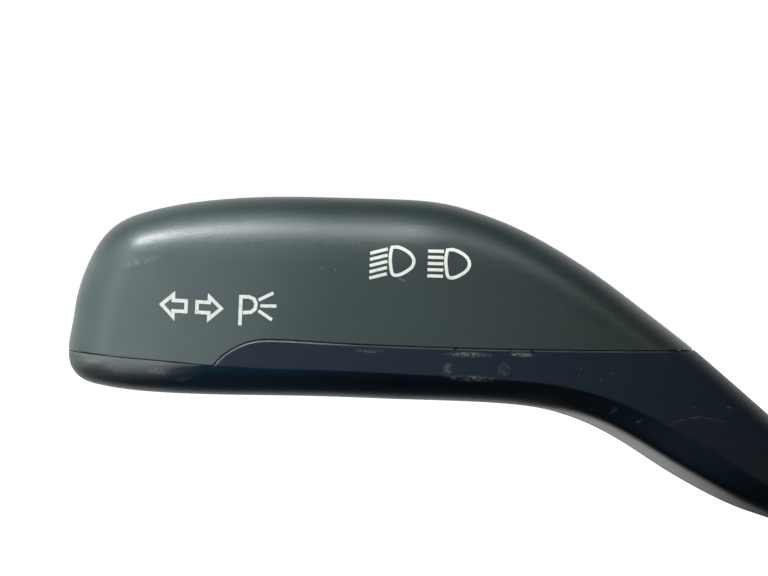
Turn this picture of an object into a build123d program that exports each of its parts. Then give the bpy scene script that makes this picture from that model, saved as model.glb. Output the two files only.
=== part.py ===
from build123d import *
from math import cos, radians, sin, sqrt
import os

os.makedirs("parts", exist_ok=True)

# Combination stalk switch for the left of a steering column. All sizes are in millimetres.
# The origin is the centre of the column bore at the housing's rear face. X runs to the
# driver's right, Y away from the driver, and Z up. A depth is measured from the rear face
# towards the driver, along -Y, which is the normal of Plane.XZ.

# Travel of the lever to each side, in degrees
indicator_swing = 12.0
beam_swing = 6.0

# Clearances
pivot_gap = 0.05
slide_gap = 0.1
seat_gap = 0.02
layer_gap = 0.4

# Column collar, mounting plate and its four screws
bore_radius = 22.0
collar_wall = 3.0
plate_width = 64.0
plate_height = 72.0
plate_corner = 8.0
mount_inset_x = 8.0
mount_inset_z = 6.0
mount_hole_radius = 2.25
pillar_wall = 2.75

# Housing shell
pivot_offset = 46.0
housing_wall = 2.2
floor_thickness = 2.5
cover_thickness = 2.5
dome_radius = 22.0
slot_margin = 0.7
rib_thickness = 1.6
edge_chamfer = 0.8
cover_screw_radius = 1.25
cover_screw_length = 12.0
screw_boss_radius = 3.0

# Connector
connector_x = -2.0
connector_width = 40.0
connector_depth = 14.0
connector_length = 12.0
connector_wall = 2.0
blade_pitch = 5.0
blades_per_row = 6
blade_width = 1.6
blade_thickness = 0.8
blade_row_gap = 6.0
blade_leg_inset = 1.5
blade_leg_step = 2.8

# Layers of the mechanism
board_thickness = 1.6
contact_thickness = 0.3
slide_thickness = 2.85
carrier_depth = 17.0
carriage_thickness = 2.0
pawl_thickness = 2.0

# Pivots and detents
trunnion_radius = 3.0
trunnion_boss_wall = 1.55
beam_pin_radius = 1.5
carrier_half_height = 9.0
carrier_front_reach = 7.0
carrier_back_reach = 15.5
cavity_half = 5.4
cavity_reach = 12.8
detent_radius = 13.0
detent_width = 7.0
notch_radius = 1.3
plunger_radius = 2.5
plunger_nose = 1.2
plunger_clearance = 0.15
plunger_length = 9.35
detent_spring_length = 6.3
beam_plunger_radius = 2.0
beam_plunger_length = 7.1
beam_spring_length = 3.0

# Contact slide, beam pusher and cancelling pawl
drive_arm = 12.0
peg_radius = 1.45
slide_width = 10.0
slide_length = 16.0
slide_offset = 12.8
rail_width = 1.5
rail_half_length = 12.0
pusher_arm = 6.5
pusher_radius = 1.2
pawl_arm = 13.0
pawl_pin_radius = 1.2
pawl_nose_radius = 1.5
pawl_end_gap = 0.6
carriage_half_height = 4.2

# Lever
lever_reach = 142.0
paddle_rise = 25.0
paddle_length = 58.7
crown_height = 21.9
chin_depth = 7.6
handle_depth = 13.0
reference_depth = 13.0
root_height = 9.4
root_gap = 10.0
neck_length = 13.0
shell_wall = 2.1
corner_wall = 4.4
face_wall = 2.0
corner_reach = 2.6
parting_gap = 0.12
lip_height = 1.2
lip_thickness = 0.9
core_width = 4.4
core_depth = 6.0
core_bend = 15.0
core_screw_radius = 1.15
core_screw_spacing = 16.0
eye_wall = 2.7
tail_length = 10.0
tail_half_depth = 3.5
tail_half_height = 4.0
boss_wall = 1.45
boss_height = 3.0
shield_gap = 0.6
shield_thickness = 1.5
shield_half_angle = 43.0
shield_bands = 3

# Where things are, worked out from the sizes above
pivot_x = -pivot_offset
mount_spacing_x = plate_width - 2 * mount_inset_x
mount_spacing_z = plate_height - 2 * mount_inset_z
collar_radius = bore_radius + collar_wall
pillar_radius = mount_hole_radius + pillar_wall
board_top = floor_thickness + board_thickness
bridge_start = board_top + contact_thickness + pivot_gap
slide_start = bridge_start + contact_thickness
carrier_start = slide_start + slide_thickness + layer_gap
carrier_end = carrier_start + carrier_depth
mid_depth = (carrier_start + carrier_end) / 2
carriage_start = carrier_end + slide_gap
carriage_end = carriage_start + carriage_thickness
pawl_start = carriage_end + 2 * slide_gap
pawl_end = pawl_start + pawl_thickness
tray_depth = pawl_end + layer_gap + slide_gap
housing_depth = tray_depth + cover_thickness
tip_x = pivot_x - lever_reach
root_x = pivot_x - root_gap
neck_end_x = root_x - neck_length
half_depth = handle_depth / 2


def at_depth(depth):
    """Sketch plane at a depth, with the sketch's own axes along X and Z."""
    return Plane.XZ.offset(depth)


def at_pivot_height(z):
    """Level sketch plane whose own origin is on the beam pivot's axis."""
    return Plane(origin=(pivot_x, -mid_depth, z))


def across_lever(x):
    """Upright sketch plane across the lever, with the sketch's own axes along Y and Z."""
    return Plane(origin=(x, -mid_depth, 0), x_dir=(0, 1, 0), z_dir=(1, 0, 0))


# Handle form: stations on its front outline, each with the reach of its edge rounding

# Shares of the paddle's length and of the crown's height, and rounding, along the top
crown_stations = [
    (0.0, 0.0, 3.0),
    (0.019, 0.324, 5.0),
    (0.053, 0.594, 6.5),
    (0.092, 0.758, 6.5),
    (0.136, 0.849, 6.5),
    (0.187, 0.9, 7.0),
    (0.273, 0.95, 8.5),
    (0.511, 1.0, 9.5),
    (0.806, 0.982, 9.0),
    (1.0, 0.89, 8.0),
]
# Shares of the crank's run and of its climb, and rounding, along the top
crown_crank_stations = [
    (0.189, 0.866, 7.0),
    (0.38, 0.662, 6.0),
    (0.521, 0.494, 5.5),
    (0.68, 0.282, 5.0),
    (0.818, 0.116, 4.5),
    (0.917, 0.033, 4.3),
    (1.0, 0.0, 4.2),
]
# The same two lists along the bottom, where the rounding meets the face in a crease
chin_stations = [
    (0.0, 0.0, 3.0),
    (0.006, 0.29, 3.2),
    (0.027, 0.5, 3.8),
    (0.075, 0.645, 4.8),
    (0.221, 0.789, 6.4),
    (0.416, 0.842, 6.0),
    (0.806, 0.921, 5.4),
]
chin_crank_stations = [
    (0.048, 1.0, 5.0),
    (0.143, 0.968, 5.2),
    (0.237, 0.891, 6.1),
    (0.332, 0.76, 7.3),
    (0.426, 0.593, 8.1),
    (0.521, 0.443, 8.2),
    (0.617, 0.321, 7.0),
    (0.68, 0.262, 6.0),
    (0.818, 0.113, 5.1),
    (0.917, 0.027, 4.6),
    (1.0, 0.0, 4.5),
]
chin_corner_stations = 3
crease_swell = 1.06
form_levels = [0.35, 0.7, 0.9, 1.0]


def outline_points(paddle, crank, height, paddle_end, side):
    """Outline points as (x, z, rounding) from the tip to the neck, above for side 1 and below for -1."""
    half_root = side * root_height / 2
    rounding = handle_depth / reference_depth
    climb = paddle_rise + side * height * paddle_end - half_root
    start_x = tip_x + paddle_length
    points = []
    for x, z, r in paddle:
        points.append((tip_x + x * paddle_length, paddle_rise + side * z * height, r * rounding))
    for x, z, r in crank:
        points.append((start_x + x * (neck_end_x - start_x), half_root + z * climb, r * rounding))
    return points


def inward_normals(points, side):
    """Unit normals that point into the handle, at each outline point."""
    path = Spline([(x, z) for x, z, r in points], tangents=[(0, side), (1, 0)], tangent_scalars=(1, 1))
    tangents = [path.tangent_at(path.param_at_point(Vector(x, z))) for x, z, r in points]
    return [Vector(t.Y, -t.X) * side for t in tangents]


crown_points = outline_points(crown_stations, crown_crank_stations, crown_height, 0.945, 1)
chin_points = outline_points(chin_stations, chin_crank_stations, chin_depth, 1.0, -1)
crown_normals = inward_normals(crown_points, 1)
chin_normals = inward_normals(chin_points, -1)


def rounding_inset(share, radius, swell):
    """How far the rounding stands in from the outline at a share of the half depth."""
    return radius * (1 - sqrt(max(0.0, 1 - (share / swell)**2)))


def handle_section(share):
    """Face inside the handle's rounded outline at a share of its half depth off the mid-plane."""
    sides = [(crown_points, crown_normals, 1), (chin_points, chin_normals, -1)]
    with BuildSketch(at_depth(mid_depth + share * half_depth)) as section:
        with BuildLine():
            ends = []
            for points, normals, side in sides:
                swells = [1.0] + [1.0 if side == 1 else crease_swell] * (len(points) - 1)
                insets = [rounding_inset(abs(share), p[2], swell) for p, swell in zip(points, swells)]
                stations = [(p[0] + n.X * i, p[1] + n.Y * i) for p, n, i in zip(points, normals, insets)]
                Spline(stations, tangents=[(0, side), (1, 0)], tangent_scalars=(1, 1))
                root = (root_x, stations[-1][1])
                Line(stations[-1], root)
                ends.append(root)
            Line(ends)
        make_face()
    return section.sketch


def hollow_space(wall, reach):
    """Prism inside the outline with walls of one thickness, to a reach either side of the mid-plane."""
    crown = zip(crown_points, crown_normals)
    chin = list(zip(chin_points, chin_normals))
    chin = chin[:1] + chin[chin_corner_stations:]
    inside = [[(p[0] + n.X * wall, p[1] + n.Y * wall) for p, n in side] for side in (crown, chin)]
    with BuildPart() as space:
        with BuildSketch(at_depth(mid_depth)):
            with BuildLine():
                Polyline(inside[0] + inside[1][::-1], close=True)
            make_face()
        extrude(amount=reach, both=True)
    return space.part


def below_parting(lift=0.0):
    """Block that holds everything below the parting line of the two shells, raised by lift."""
    left = tip_x - handle_depth
    floor = -paddle_rise
    tip_side = [(-0.034, 0.026), (0.078, -0.079), (0.198, -0.171), (0.354, -0.289)]
    step_side = [(0.354, -0.289), (0.402, 0.026), (0.472, 0.197), (0.545, 0.191)]
    step_side += [(0.853, 0.066), (1.516, -0.013)]
    with BuildPart() as block:
        with BuildSketch(at_depth(mid_depth)):
            with BuildLine():
                base = paddle_rise + lift
                a = Spline([(tip_x + x * paddle_length, base + z * chin_depth) for x, z in tip_side])
                b = Spline([(tip_x + x * paddle_length, base + z * chin_depth) for x, z in step_side])
                Polyline(b @ 1, (root_x + handle_depth, (b @ 1).Y), (root_x + handle_depth, floor),
                         (left, floor), (left, (a @ 0).Y), a @ 0)
            make_face()
        extrude(amount=handle_depth, both=True)
    return block.part


# Lever core: the band that carries the handle, bent up from the pivot into the paddle

core_rise = paddle_rise - 1.0
core_knee_x = pivot_x - 2.15 * neck_length
core_shoulder_x = tip_x + 1.295 * paddle_length
core_end_x = tip_x + 0.647 * paddle_length
core_screw_xs = [core_shoulder_x - core_screw_spacing, core_shoulder_x - 2 * core_screw_spacing]
hollow_x = core_shoulder_x


def core_band(width, depth, start_x=pivot_x, end_x=core_end_x):
    """Band along the core's centre line."""
    with BuildPart() as band:
        with BuildSketch(at_depth(mid_depth)):
            with BuildLine():
                FilletPolyline(
                    (start_x, 0),
                    (core_knee_x, 0),
                    (core_shoulder_x, core_rise),
                    (end_x, core_rise),
                    radius=core_bend,
                )
            trace(line_width=width)
        extrude(amount=depth / 2, both=True)
    return band.part


eye_radius = beam_pin_radius + eye_wall
eye_half_height = cavity_half - layer_gap
tail_end_x = pivot_x + tail_length
beam_bore_end_x = pivot_x + cavity_reach - 0.2 - beam_plunger_length - beam_spring_length

with BuildPart() as lever_core:
    add(core_band(core_width, core_depth))
    with BuildSketch(at_pivot_height(-eye_half_height)):
        Circle(eye_radius)
    extrude(amount=2 * eye_half_height)
    with BuildSketch(at_pivot_height(-tail_half_height)):
        Rectangle(tail_end_x - pivot_x, 2 * tail_half_depth, align=(Align.MIN, Align.CENTER))
    extrude(amount=2 * tail_half_height)
    with BuildSketch(at_pivot_height(-eye_half_height)):
        Circle(beam_pin_radius + pivot_gap)
    extrude(amount=2 * eye_half_height, mode=Mode.SUBTRACT)
    with BuildSketch(across_lever(tail_end_x)):
        Circle(beam_plunger_radius + pivot_gap)
    extrude(amount=beam_bore_end_x - tail_end_x, mode=Mode.SUBTRACT)
    groove_depth = core_depth / 4
    groove = core_band(core_width / 3, core_depth, start_x=root_x, end_x=core_screw_xs[0] + core_depth)
    with BuildSketch(at_depth(mid_depth)):
        with Locations((hollow_x, 0)):
            Rectangle(lever_reach, lever_reach)
    web = extrude(amount=core_depth / 2 - groove_depth, both=True, mode=Mode.PRIVATE)
    add(groove - web, mode=Mode.SUBTRACT)
    with BuildSketch(Plane.XY.offset(core_rise - core_width)):
        with Locations(*[(x, -mid_depth) for x in core_screw_xs]):
            Circle(core_screw_radius + pivot_gap)
    extrude(amount=2 * core_width, mode=Mode.SUBTRACT)
lever_core.part.label = "lever_core"
export_step(lever_core.part, "parts/lever_core.step")


# Handle shells

with BuildPart() as handle_form:
    shares = sorted(form_levels + [-share for share in form_levels])
    loft([handle_section(share) for share in shares], ruled=True)

corner_space = hollow_space(shell_wall, corner_reach)
face_space = hollow_space(corner_wall, half_depth - face_wall)
tongue_outer = hollow_space(corner_wall + slide_gap, half_depth - face_wall - slide_gap)
tongue_inner = hollow_space(corner_wall, half_depth - face_wall - lip_thickness)
channel = core_band(core_width + 3 * slide_gap, core_depth + 3 * slide_gap)

with BuildPart() as paddle_space:
    with BuildSketch(at_depth(mid_depth)):
        with Locations((hollow_x, paddle_rise)):
            Rectangle(lever_reach, 2 * lever_reach, align=(Align.MAX, Align.CENTER))
    extrude(amount=handle_depth, both=True)

core_underside = core_rise - core_width / 2
boss_radius = core_screw_radius + boss_wall

with BuildPart() as handle_lower_shell:
    add(handle_form.part)
    add(below_parting(), mode=Mode.INTERSECT)
    add((corner_space + face_space) & paddle_space.part, mode=Mode.SUBTRACT)
    add(channel, mode=Mode.SUBTRACT)
    with BuildSketch(Plane.XY.offset(core_underside - boss_height)):
        with Locations(*[(x, -mid_depth) for x in core_screw_xs]):
            Circle(boss_radius)
    extrude(amount=boss_height)
    with BuildSketch(Plane.XY.offset(core_underside)):
        with Locations(*[(x, -mid_depth) for x in core_screw_xs]):
            Circle(core_screw_radius + seat_gap)
    extrude(amount=-boss_height - 0.3, mode=Mode.SUBTRACT)
handle_lower_shell.part.label = "handle_lower_shell"
export_step(handle_lower_shell.part, "parts/handle_lower_shell.step")

with BuildPart() as handle_upper_shell:
    add(handle_form.part)
    add(below_parting(parting_gap), mode=Mode.SUBTRACT)
    add(corner_space + face_space, mode=Mode.SUBTRACT)
    # Tongue that reaches down inside the lower shell, and the seat that joins it to the wall
    add(tongue_outer & paddle_space.part & below_parting(parting_gap) - below_parting(-lip_height))
    add(face_space & paddle_space.part & below_parting(lip_height) - below_parting(parting_gap))
    add(tongue_inner, mode=Mode.SUBTRACT)
    add(channel, mode=Mode.SUBTRACT)
handle_upper_shell.part.label = "handle_upper_shell"
export_step(handle_upper_shell.part, "parts/handle_upper_shell.step")

core_screw_head_radius = 2.2
core_screw_head_height = 1.4

with BuildPart() as core_screws:
    with BuildSketch(Plane.XY.offset(core_underside - boss_height)):
        with Locations(*[(x, -mid_depth) for x in core_screw_xs]):
            Circle(core_screw_radius)
    extrude(amount=boss_height + core_width)
    with BuildSketch(Plane.XY.offset(core_rise + core_width / 2)):
        with Locations(*[(x, -mid_depth) for x in core_screw_xs]):
            Circle(core_screw_head_radius)
    extrude(amount=core_screw_head_height)
    head_tops = core_screws.faces().group_by(Axis.Z)[-1]
    chamfer(head_tops.edges(), core_screw_head_height / 3)
    with BuildSketch(Plane.XY.offset(core_rise + core_width / 2 + core_screw_head_height)):
        with Locations(*[(x, -mid_depth) for x in core_screw_xs]):
            Rectangle(core_screw_head_radius, core_screw_head_radius / 4)
            Rectangle(core_screw_head_radius / 4, core_screw_head_radius)
    extrude(amount=-core_screw_head_height / 2, mode=Mode.SUBTRACT)
core_screws.part.label = "core_screws"
export_step(core_screws.part, "parts/core_screws.step")


# Ball shield on the neck, that keeps the housing's slot covered from inside as the lever moves

slot_half_height = dome_radius * sin(radians(indicator_swing)) + root_height / 2 + slot_margin
slot_half_depth = dome_radius * sin(radians(beam_swing)) + half_depth + slot_margin
shield_outer = dome_radius - housing_wall - shield_gap
shield_inner = shield_outer - shield_thickness
shield_half_depth = slot_half_depth + shield_outer * sin(radians(beam_swing))
shield_edge = Vector(-1, 0, 0).rotate(Axis.Y, shield_half_angle)

shield_plane = Plane(
    origin=(pivot_x, -mid_depth, 0), x_dir=shield_edge, z_dir=shield_edge.cross(Vector(0, 1, 0))
)

with BuildPart() as slot_shield:
    with BuildSketch(shield_plane):
        with BuildLine():
            bands = range(-shield_bands, shield_bands + 1)
            offsets = [shield_half_depth * band / shield_bands for band in bands]
            outside = [(sqrt(shield_outer**2 - y**2), y) for y in offsets]
            inside = [(sqrt(shield_inner**2 - y**2), y) for y in offsets]
            Polyline(outside + inside[::-1], close=True)
        make_face()
    revolve(axis=Axis((pivot_x, -mid_depth, 0), (0, 1, 0)), revolution_arc=-2 * shield_half_angle)
    with BuildSketch(across_lever(neck_end_x)):
        RectangleRounded(handle_depth + 2 * slide_gap, root_height + 2 * slide_gap, root_height * 0.4)
    extrude(amount=dome_radius, mode=Mode.SUBTRACT)
slot_shield.part.label = "slot_shield"
export_step(slot_shield.part, "parts/slot_shield.step")


# Housing

def housing_form(inset, near, far):
    """Outer form of the housing between two depths, with its side faces moved in by inset."""
    with BuildPart() as form:
        with BuildSketch(at_depth(near)):
            RectangleRounded(plate_width - 2 * inset, plate_height - 2 * inset, plate_corner - inset)
            with Locations((pivot_x, 0)):
                Rectangle(pivot_offset, 2 * (dome_radius - inset), align=(Align.MIN, Align.CENTER))
                Circle(dome_radius - inset)
        extrude(amount=far - near)
    return form.part


cover_screw_points = [
    (pivot_x + 12, dome_radius - 4),
    (pivot_x + 12, 4 - dome_radius),
    (plate_width / 2 - 4, 12),
    (plate_width / 2 - 4, -12),
]
trunnion_bore = trunnion_radius + pivot_gap
trunnion_boss_radius = trunnion_bore + trunnion_boss_wall
rear_bore_start = floor_thickness - 1.0
front_bore_end = tray_depth + 1.0
plunger_tip = detent_radius + plunger_clearance
plunger_base = plunger_tip + plunger_length
tower_mouth = detent_radius + 2.8
spring_seat = plunger_base + detent_spring_length
plug_thickness = 2.2
barrel_end = spring_seat + plug_thickness
barrel_bore = plunger_radius + seat_gap + pivot_gap
barrel_radius = barrel_bore + 1.3
tower_radius = barrel_radius + housing_wall
tower_end = dome_radius + 1.0
window_half_height = 12.0
window_start = pawl_start - layer_gap
connector_mid = 15.0
shroud_start_z = -plate_height / 2
row_depths = [connector_mid - blade_row_gap / 2, connector_mid + blade_row_gap / 2]
blade_xs = [connector_x + blade_pitch * (i - (blades_per_row - 1) / 2) for i in range(blades_per_row)]

with BuildPart() as switch_housing:
    add(housing_form(0, 0, tray_depth))
    rear_face = switch_housing.faces().sort_by(Axis.Y)[-1]
    chamfer(rear_face.outer_wire().edges(), edge_chamfer)
    add(housing_form(housing_wall, floor_thickness, tray_depth), mode=Mode.SUBTRACT)
    # Stiffening ribs from the collar to the far walls
    with BuildSketch(at_depth(floor_thickness)):
        with Locations((-12, 0), (0, 0), (12, 0)):
            Rectangle(rib_thickness, plate_height / 2 - housing_wall / 2, align=(Align.CENTER, Align.MIN))
        with Locations((0, 0)):
            Rectangle(plate_width / 2 - housing_wall / 2, rib_thickness, align=(Align.MIN, Align.CENTER))
    extrude(amount=tray_depth - floor_thickness - 8)
    # Collar, pillars, bosses and the seat of the detent barrel
    with BuildSketch(at_depth(0)):
        Circle(collar_radius)
    extrude(amount=housing_depth)
    with BuildSketch(at_depth(0)):
        with GridLocations(mount_spacing_x, mount_spacing_z, 2, 2):
            Circle(pillar_radius)
        with Locations(*cover_screw_points):
            Circle(screw_boss_radius)
        with Locations((pivot_x, 0)):
            Circle(trunnion_boss_radius)
    extrude(amount=slide_start + slide_thickness)
    with BuildSketch(at_depth(0)):
        with GridLocations(mount_spacing_x, mount_spacing_z, 2, 2):
            Circle(pillar_radius)
        with Locations(*cover_screw_points):
            Circle(screw_boss_radius)
    extrude(amount=tray_depth)
    with BuildSketch(at_pivot_height(-tower_mouth)):
        Circle(tower_radius)
    extrude(amount=tower_mouth - tower_end)
    # Connector shroud with its latch nib
    with BuildSketch(Plane.XY.offset(shroud_start_z)):
        with Locations((connector_x, -connector_mid)):
            RectangleRounded(connector_width, connector_depth, connector_wall)
    extrude(amount=-connector_length)
    with BuildSketch(Plane.YZ.offset(connector_x)):
        front = -connector_mid - connector_depth / 2
        with BuildLine():
            Polyline(
                (front, shroud_start_z - 2),
                (front - 1.6, shroud_start_z - 5),
                (front, shroud_start_z - 10),
                (front, shroud_start_z - 2),
            )
        make_face()
    extrude(amount=connector_width / 10, both=True)
    # Openings
    with BuildSketch(at_depth(0)):
        Circle(bore_radius)
        with GridLocations(mount_spacing_x, mount_spacing_z, 2, 2):
            Circle(mount_hole_radius)
    extrude(amount=housing_depth, mode=Mode.SUBTRACT)
    with BuildSketch(at_depth(tray_depth)):
        with Locations(*cover_screw_points):
            Circle(cover_screw_radius + seat_gap)
    extrude(amount=cover_thickness - cover_screw_length - layer_gap, mode=Mode.SUBTRACT)
    with BuildSketch(at_depth(rear_bore_start)):
        with Locations((pivot_x, 0)):
            Circle(trunnion_bore)
    extrude(amount=tray_depth - rear_bore_start, mode=Mode.SUBTRACT)
    with BuildSketch(at_pivot_height(-tower_end)):
        Circle(barrel_radius + seat_gap)
    extrude(amount=tower_end - tower_mouth, mode=Mode.SUBTRACT)
    with BuildSketch(across_lever(root_x)):
        RectangleRounded(2 * slot_half_depth, 2 * slot_half_height, 3)
    extrude(amount=-dome_radius, mode=Mode.SUBTRACT)
    with BuildSketch(at_depth(window_start)):
        with Locations((-collar_radius - 1, 0)):
            Rectangle(collar_radius / 3, 2 * window_half_height, align=(Align.MIN, Align.CENTER))
    extrude(amount=tray_depth - window_start, mode=Mode.SUBTRACT)
    with BuildSketch(Plane.XY.offset(shroud_start_z - connector_length)):
        with Locations((connector_x, -connector_mid)):
            Rectangle(connector_width - 2 * connector_wall, connector_depth - 2 * connector_wall)
    extrude(amount=connector_length - 0.5, mode=Mode.SUBTRACT)
    with BuildSketch(Plane.XY.offset(shroud_start_z - 1)):
        with Locations(*[(x, -depth) for x in blade_xs for depth in row_depths]):
            Rectangle(blade_width + 2 * slide_gap, blade_thickness + 2 * slide_gap)
    extrude(amount=housing_wall + 2, mode=Mode.SUBTRACT)
switch_housing.part.label = "switch_housing"
export_step(switch_housing.part, "parts/switch_housing.step")

ring_seat_inner = collar_radius + 1.5
ring_seat_wall = 1.6
ring_seat_height = 1.2
screw_head_radius = 2.4
screw_head_height = 1.4

with BuildPart() as housing_cover:
    add(housing_form(0, tray_depth, housing_depth))
    front_face = housing_cover.faces().sort_by(Axis.Y)[0]
    chamfer(front_face.outer_wire().edges(), edge_chamfer)
    with BuildSketch(at_depth(tray_depth)):
        with Locations((pivot_x, 0)):
            Circle(trunnion_boss_radius)
    extrude(amount=carriage_end + layer_gap - tray_depth)
    # Raised seat for the slip ring, with three key notches
    with BuildSketch(at_depth(housing_depth)):
        Circle(ring_seat_inner + ring_seat_wall)
        Circle(ring_seat_inner, mode=Mode.SUBTRACT)
        with PolarLocations(ring_seat_inner, 3, start_angle=90):
            Rectangle(4 * ring_seat_wall, 4, mode=Mode.SUBTRACT)
    extrude(amount=ring_seat_height)
    with BuildSketch(at_depth(tray_depth)):
        Circle(collar_radius + slide_gap)
        with GridLocations(mount_spacing_x, mount_spacing_z, 2, 2):
            Circle(mount_hole_radius)
        with Locations(*cover_screw_points):
            Circle(cover_screw_radius + slide_gap)
    extrude(amount=cover_thickness, mode=Mode.SUBTRACT)
    with BuildSketch(at_depth(housing_depth)):
        with Locations(*cover_screw_points):
            Circle(screw_head_radius + slide_gap)
    extrude(amount=-screw_head_height, mode=Mode.SUBTRACT)
    with BuildSketch(at_depth(carriage_end)):
        with Locations((pivot_x, 0)):
            Circle(trunnion_bore)
    extrude(amount=front_bore_end - carriage_end, mode=Mode.SUBTRACT)
housing_cover.part.label = "housing_cover"
export_step(housing_cover.part, "parts/housing_cover.step")

with BuildPart() as cover_screws:
    with BuildSketch(at_depth(housing_depth - cover_screw_length)):
        with Locations(*cover_screw_points):
            Circle(cover_screw_radius)
    extrude(amount=cover_screw_length)
    with BuildSketch(at_depth(housing_depth - screw_head_height)):
        with Locations(*cover_screw_points):
            Circle(screw_head_radius)
    extrude(amount=screw_head_height)
    with BuildSketch(at_depth(housing_depth)):
        with Locations(*cover_screw_points):
            RegularPolygon(screw_head_radius / 2, 6)
    extrude(amount=-screw_head_height * 0.7, mode=Mode.SUBTRACT)
cover_screws.part.label = "cover_screws"
export_step(cover_screws.part, "parts/cover_screws.step")


# Contact board: a moulded plate with rails for the slide, fixed contacts and connector blades

slide_x = pivot_x + slide_offset
rail_inner = slide_width / 2 + slide_gap
lip_reach = 0.8
flange_thickness = 1.05
lip_start = slide_start + flange_thickness + slide_gap
rail_end = lip_start + lip_reach
leaf_gap_half = 4.0
rail_segments = [
    (-1, (rail_half_length + leaf_gap_half) / 2, rail_half_length - leaf_gap_half),
    (-1, -(rail_half_length + leaf_gap_half) / 2, rail_half_length - leaf_gap_half),
    (1, 0, 2 * rail_half_length),
]

board_inset = housing_wall + slide_gap

with BuildPart() as contact_board:
    with BuildSketch(at_depth(floor_thickness)):
        with Locations((pivot_x + 0.5, 0)):
            Rectangle(
                pivot_offset / 2, 2 * (dome_radius - board_inset), align=(Align.MIN, Align.CENTER)
            )
        with Locations((-plate_width / 2 + board_inset, -plate_height / 2 + board_inset)):
            Rectangle(plate_width * 0.75, plate_height / 2.8, align=(Align.MIN, Align.MIN))
        Circle(collar_radius + 2 * layer_gap, mode=Mode.SUBTRACT)
        with GridLocations(mount_spacing_x, mount_spacing_z, 2, 2):
            Circle(pillar_radius + layer_gap, mode=Mode.SUBTRACT)
        with Locations(*cover_screw_points):
            Circle(screw_boss_radius + layer_gap, mode=Mode.SUBTRACT)
        with Locations((pivot_x, 0)):
            Circle(trunnion_boss_radius + layer_gap, mode=Mode.SUBTRACT)
        with Locations((-plate_width / 2 + housing_wall, -plate_height / 2 + housing_wall)):
            Rectangle(2 * plate_corner, 2 * plate_corner - housing_wall, mode=Mode.SUBTRACT)
    extrude(amount=board_thickness)
    for side, z, length in rail_segments:
        with BuildSketch(at_depth(board_top)):
            with Locations((slide_x + side * (rail_inner + rail_width / 2), z)):
                Rectangle(rail_width, length)
        extrude(amount=rail_end - board_top)
        with BuildSketch(at_depth(lip_start)):
            with Locations((slide_x + side * (rail_inner + (rail_width - lip_reach) / 2), z)):
                Rectangle(rail_width + lip_reach, length)
        extrude(amount=rail_end - lip_start)
contact_board.part.label = "contact_board"
export_step(contact_board.part, "parts/contact_board.step")

pad_offset = 2.5
pad_radius = 0.9
drive_travel = drive_arm * sin(radians(indicator_swing))

with BuildPart() as fixed_contacts:
    with BuildSketch(at_depth(board_top)):
        with Locations(*[(slide_x - pad_offset, drive_travel * i) for i in (-3, -1, 1, 3)]):
            Circle(pad_radius)
        with Locations((slide_x + pad_offset, 0)):
            Rectangle(2 * pad_radius, 8 * drive_travel)
    extrude(amount=contact_thickness)
fixed_contacts.part.label = "fixed_contacts"
export_step(fixed_contacts.part, "parts/fixed_contacts.step")

leaf_x = pivot_x + pusher_arm
leaf_width = 2.0
leaf_top = rail_end

with BuildPart() as beam_contact_leaf:
    with BuildSketch(Plane.YZ.offset(leaf_x)):
        with BuildLine():
            Polyline(
                (-board_top - contact_thickness / 2, -3.8),
                (-board_top - contact_thickness / 2, -2.2),
                (contact_thickness / 2 - leaf_top, -0.6),
                (contact_thickness / 2 - leaf_top, 3.6),
            )
        trace(line_width=contact_thickness)
    extrude(amount=leaf_width / 2, both=True)
beam_contact_leaf.part.label = "beam_contact_leaf"
export_step(beam_contact_leaf.part, "parts/beam_contact_leaf.step")

inner_leg_z = -collar_radius - blade_leg_inset
row_legs_z = [inner_leg_z - blade_leg_step, inner_leg_z]
blade_end_z = shroud_start_z - connector_length + 3

with BuildPart() as terminals:
    for depth, leg_z in zip(row_depths, row_legs_z):
        for x in blade_xs:
            with BuildSketch(Plane.YZ.offset(x)):
                with BuildLine():
                    Polyline(
                        (-board_top, leg_z + blade_thickness / 2),
                        (-depth - blade_thickness / 2, leg_z + blade_thickness / 2),
                        (-depth - blade_thickness / 2, blade_end_z),
                        (-depth + blade_thickness / 2, blade_end_z),
                        (-depth + blade_thickness / 2, leg_z - blade_thickness / 2),
                        (-board_top, leg_z - blade_thickness / 2),
                        (-board_top, leg_z + blade_thickness / 2),
                    )
                make_face()
            extrude(amount=blade_width / 2, both=True)
terminals.part.label = "terminals"
export_step(terminals.part, "parts/terminals.step")


# Indicator carrier: rocks on two trunnions and holds the lever on the beam pin

carrier_start_x = pivot_x - carrier_front_reach
peg_end = slide_start + pivot_gap + 0.2
carriage_rail_inner = carriage_half_height + slide_gap
carriage_rail_height = 1.7
pawl_pin_x = pivot_x + pawl_arm

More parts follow.
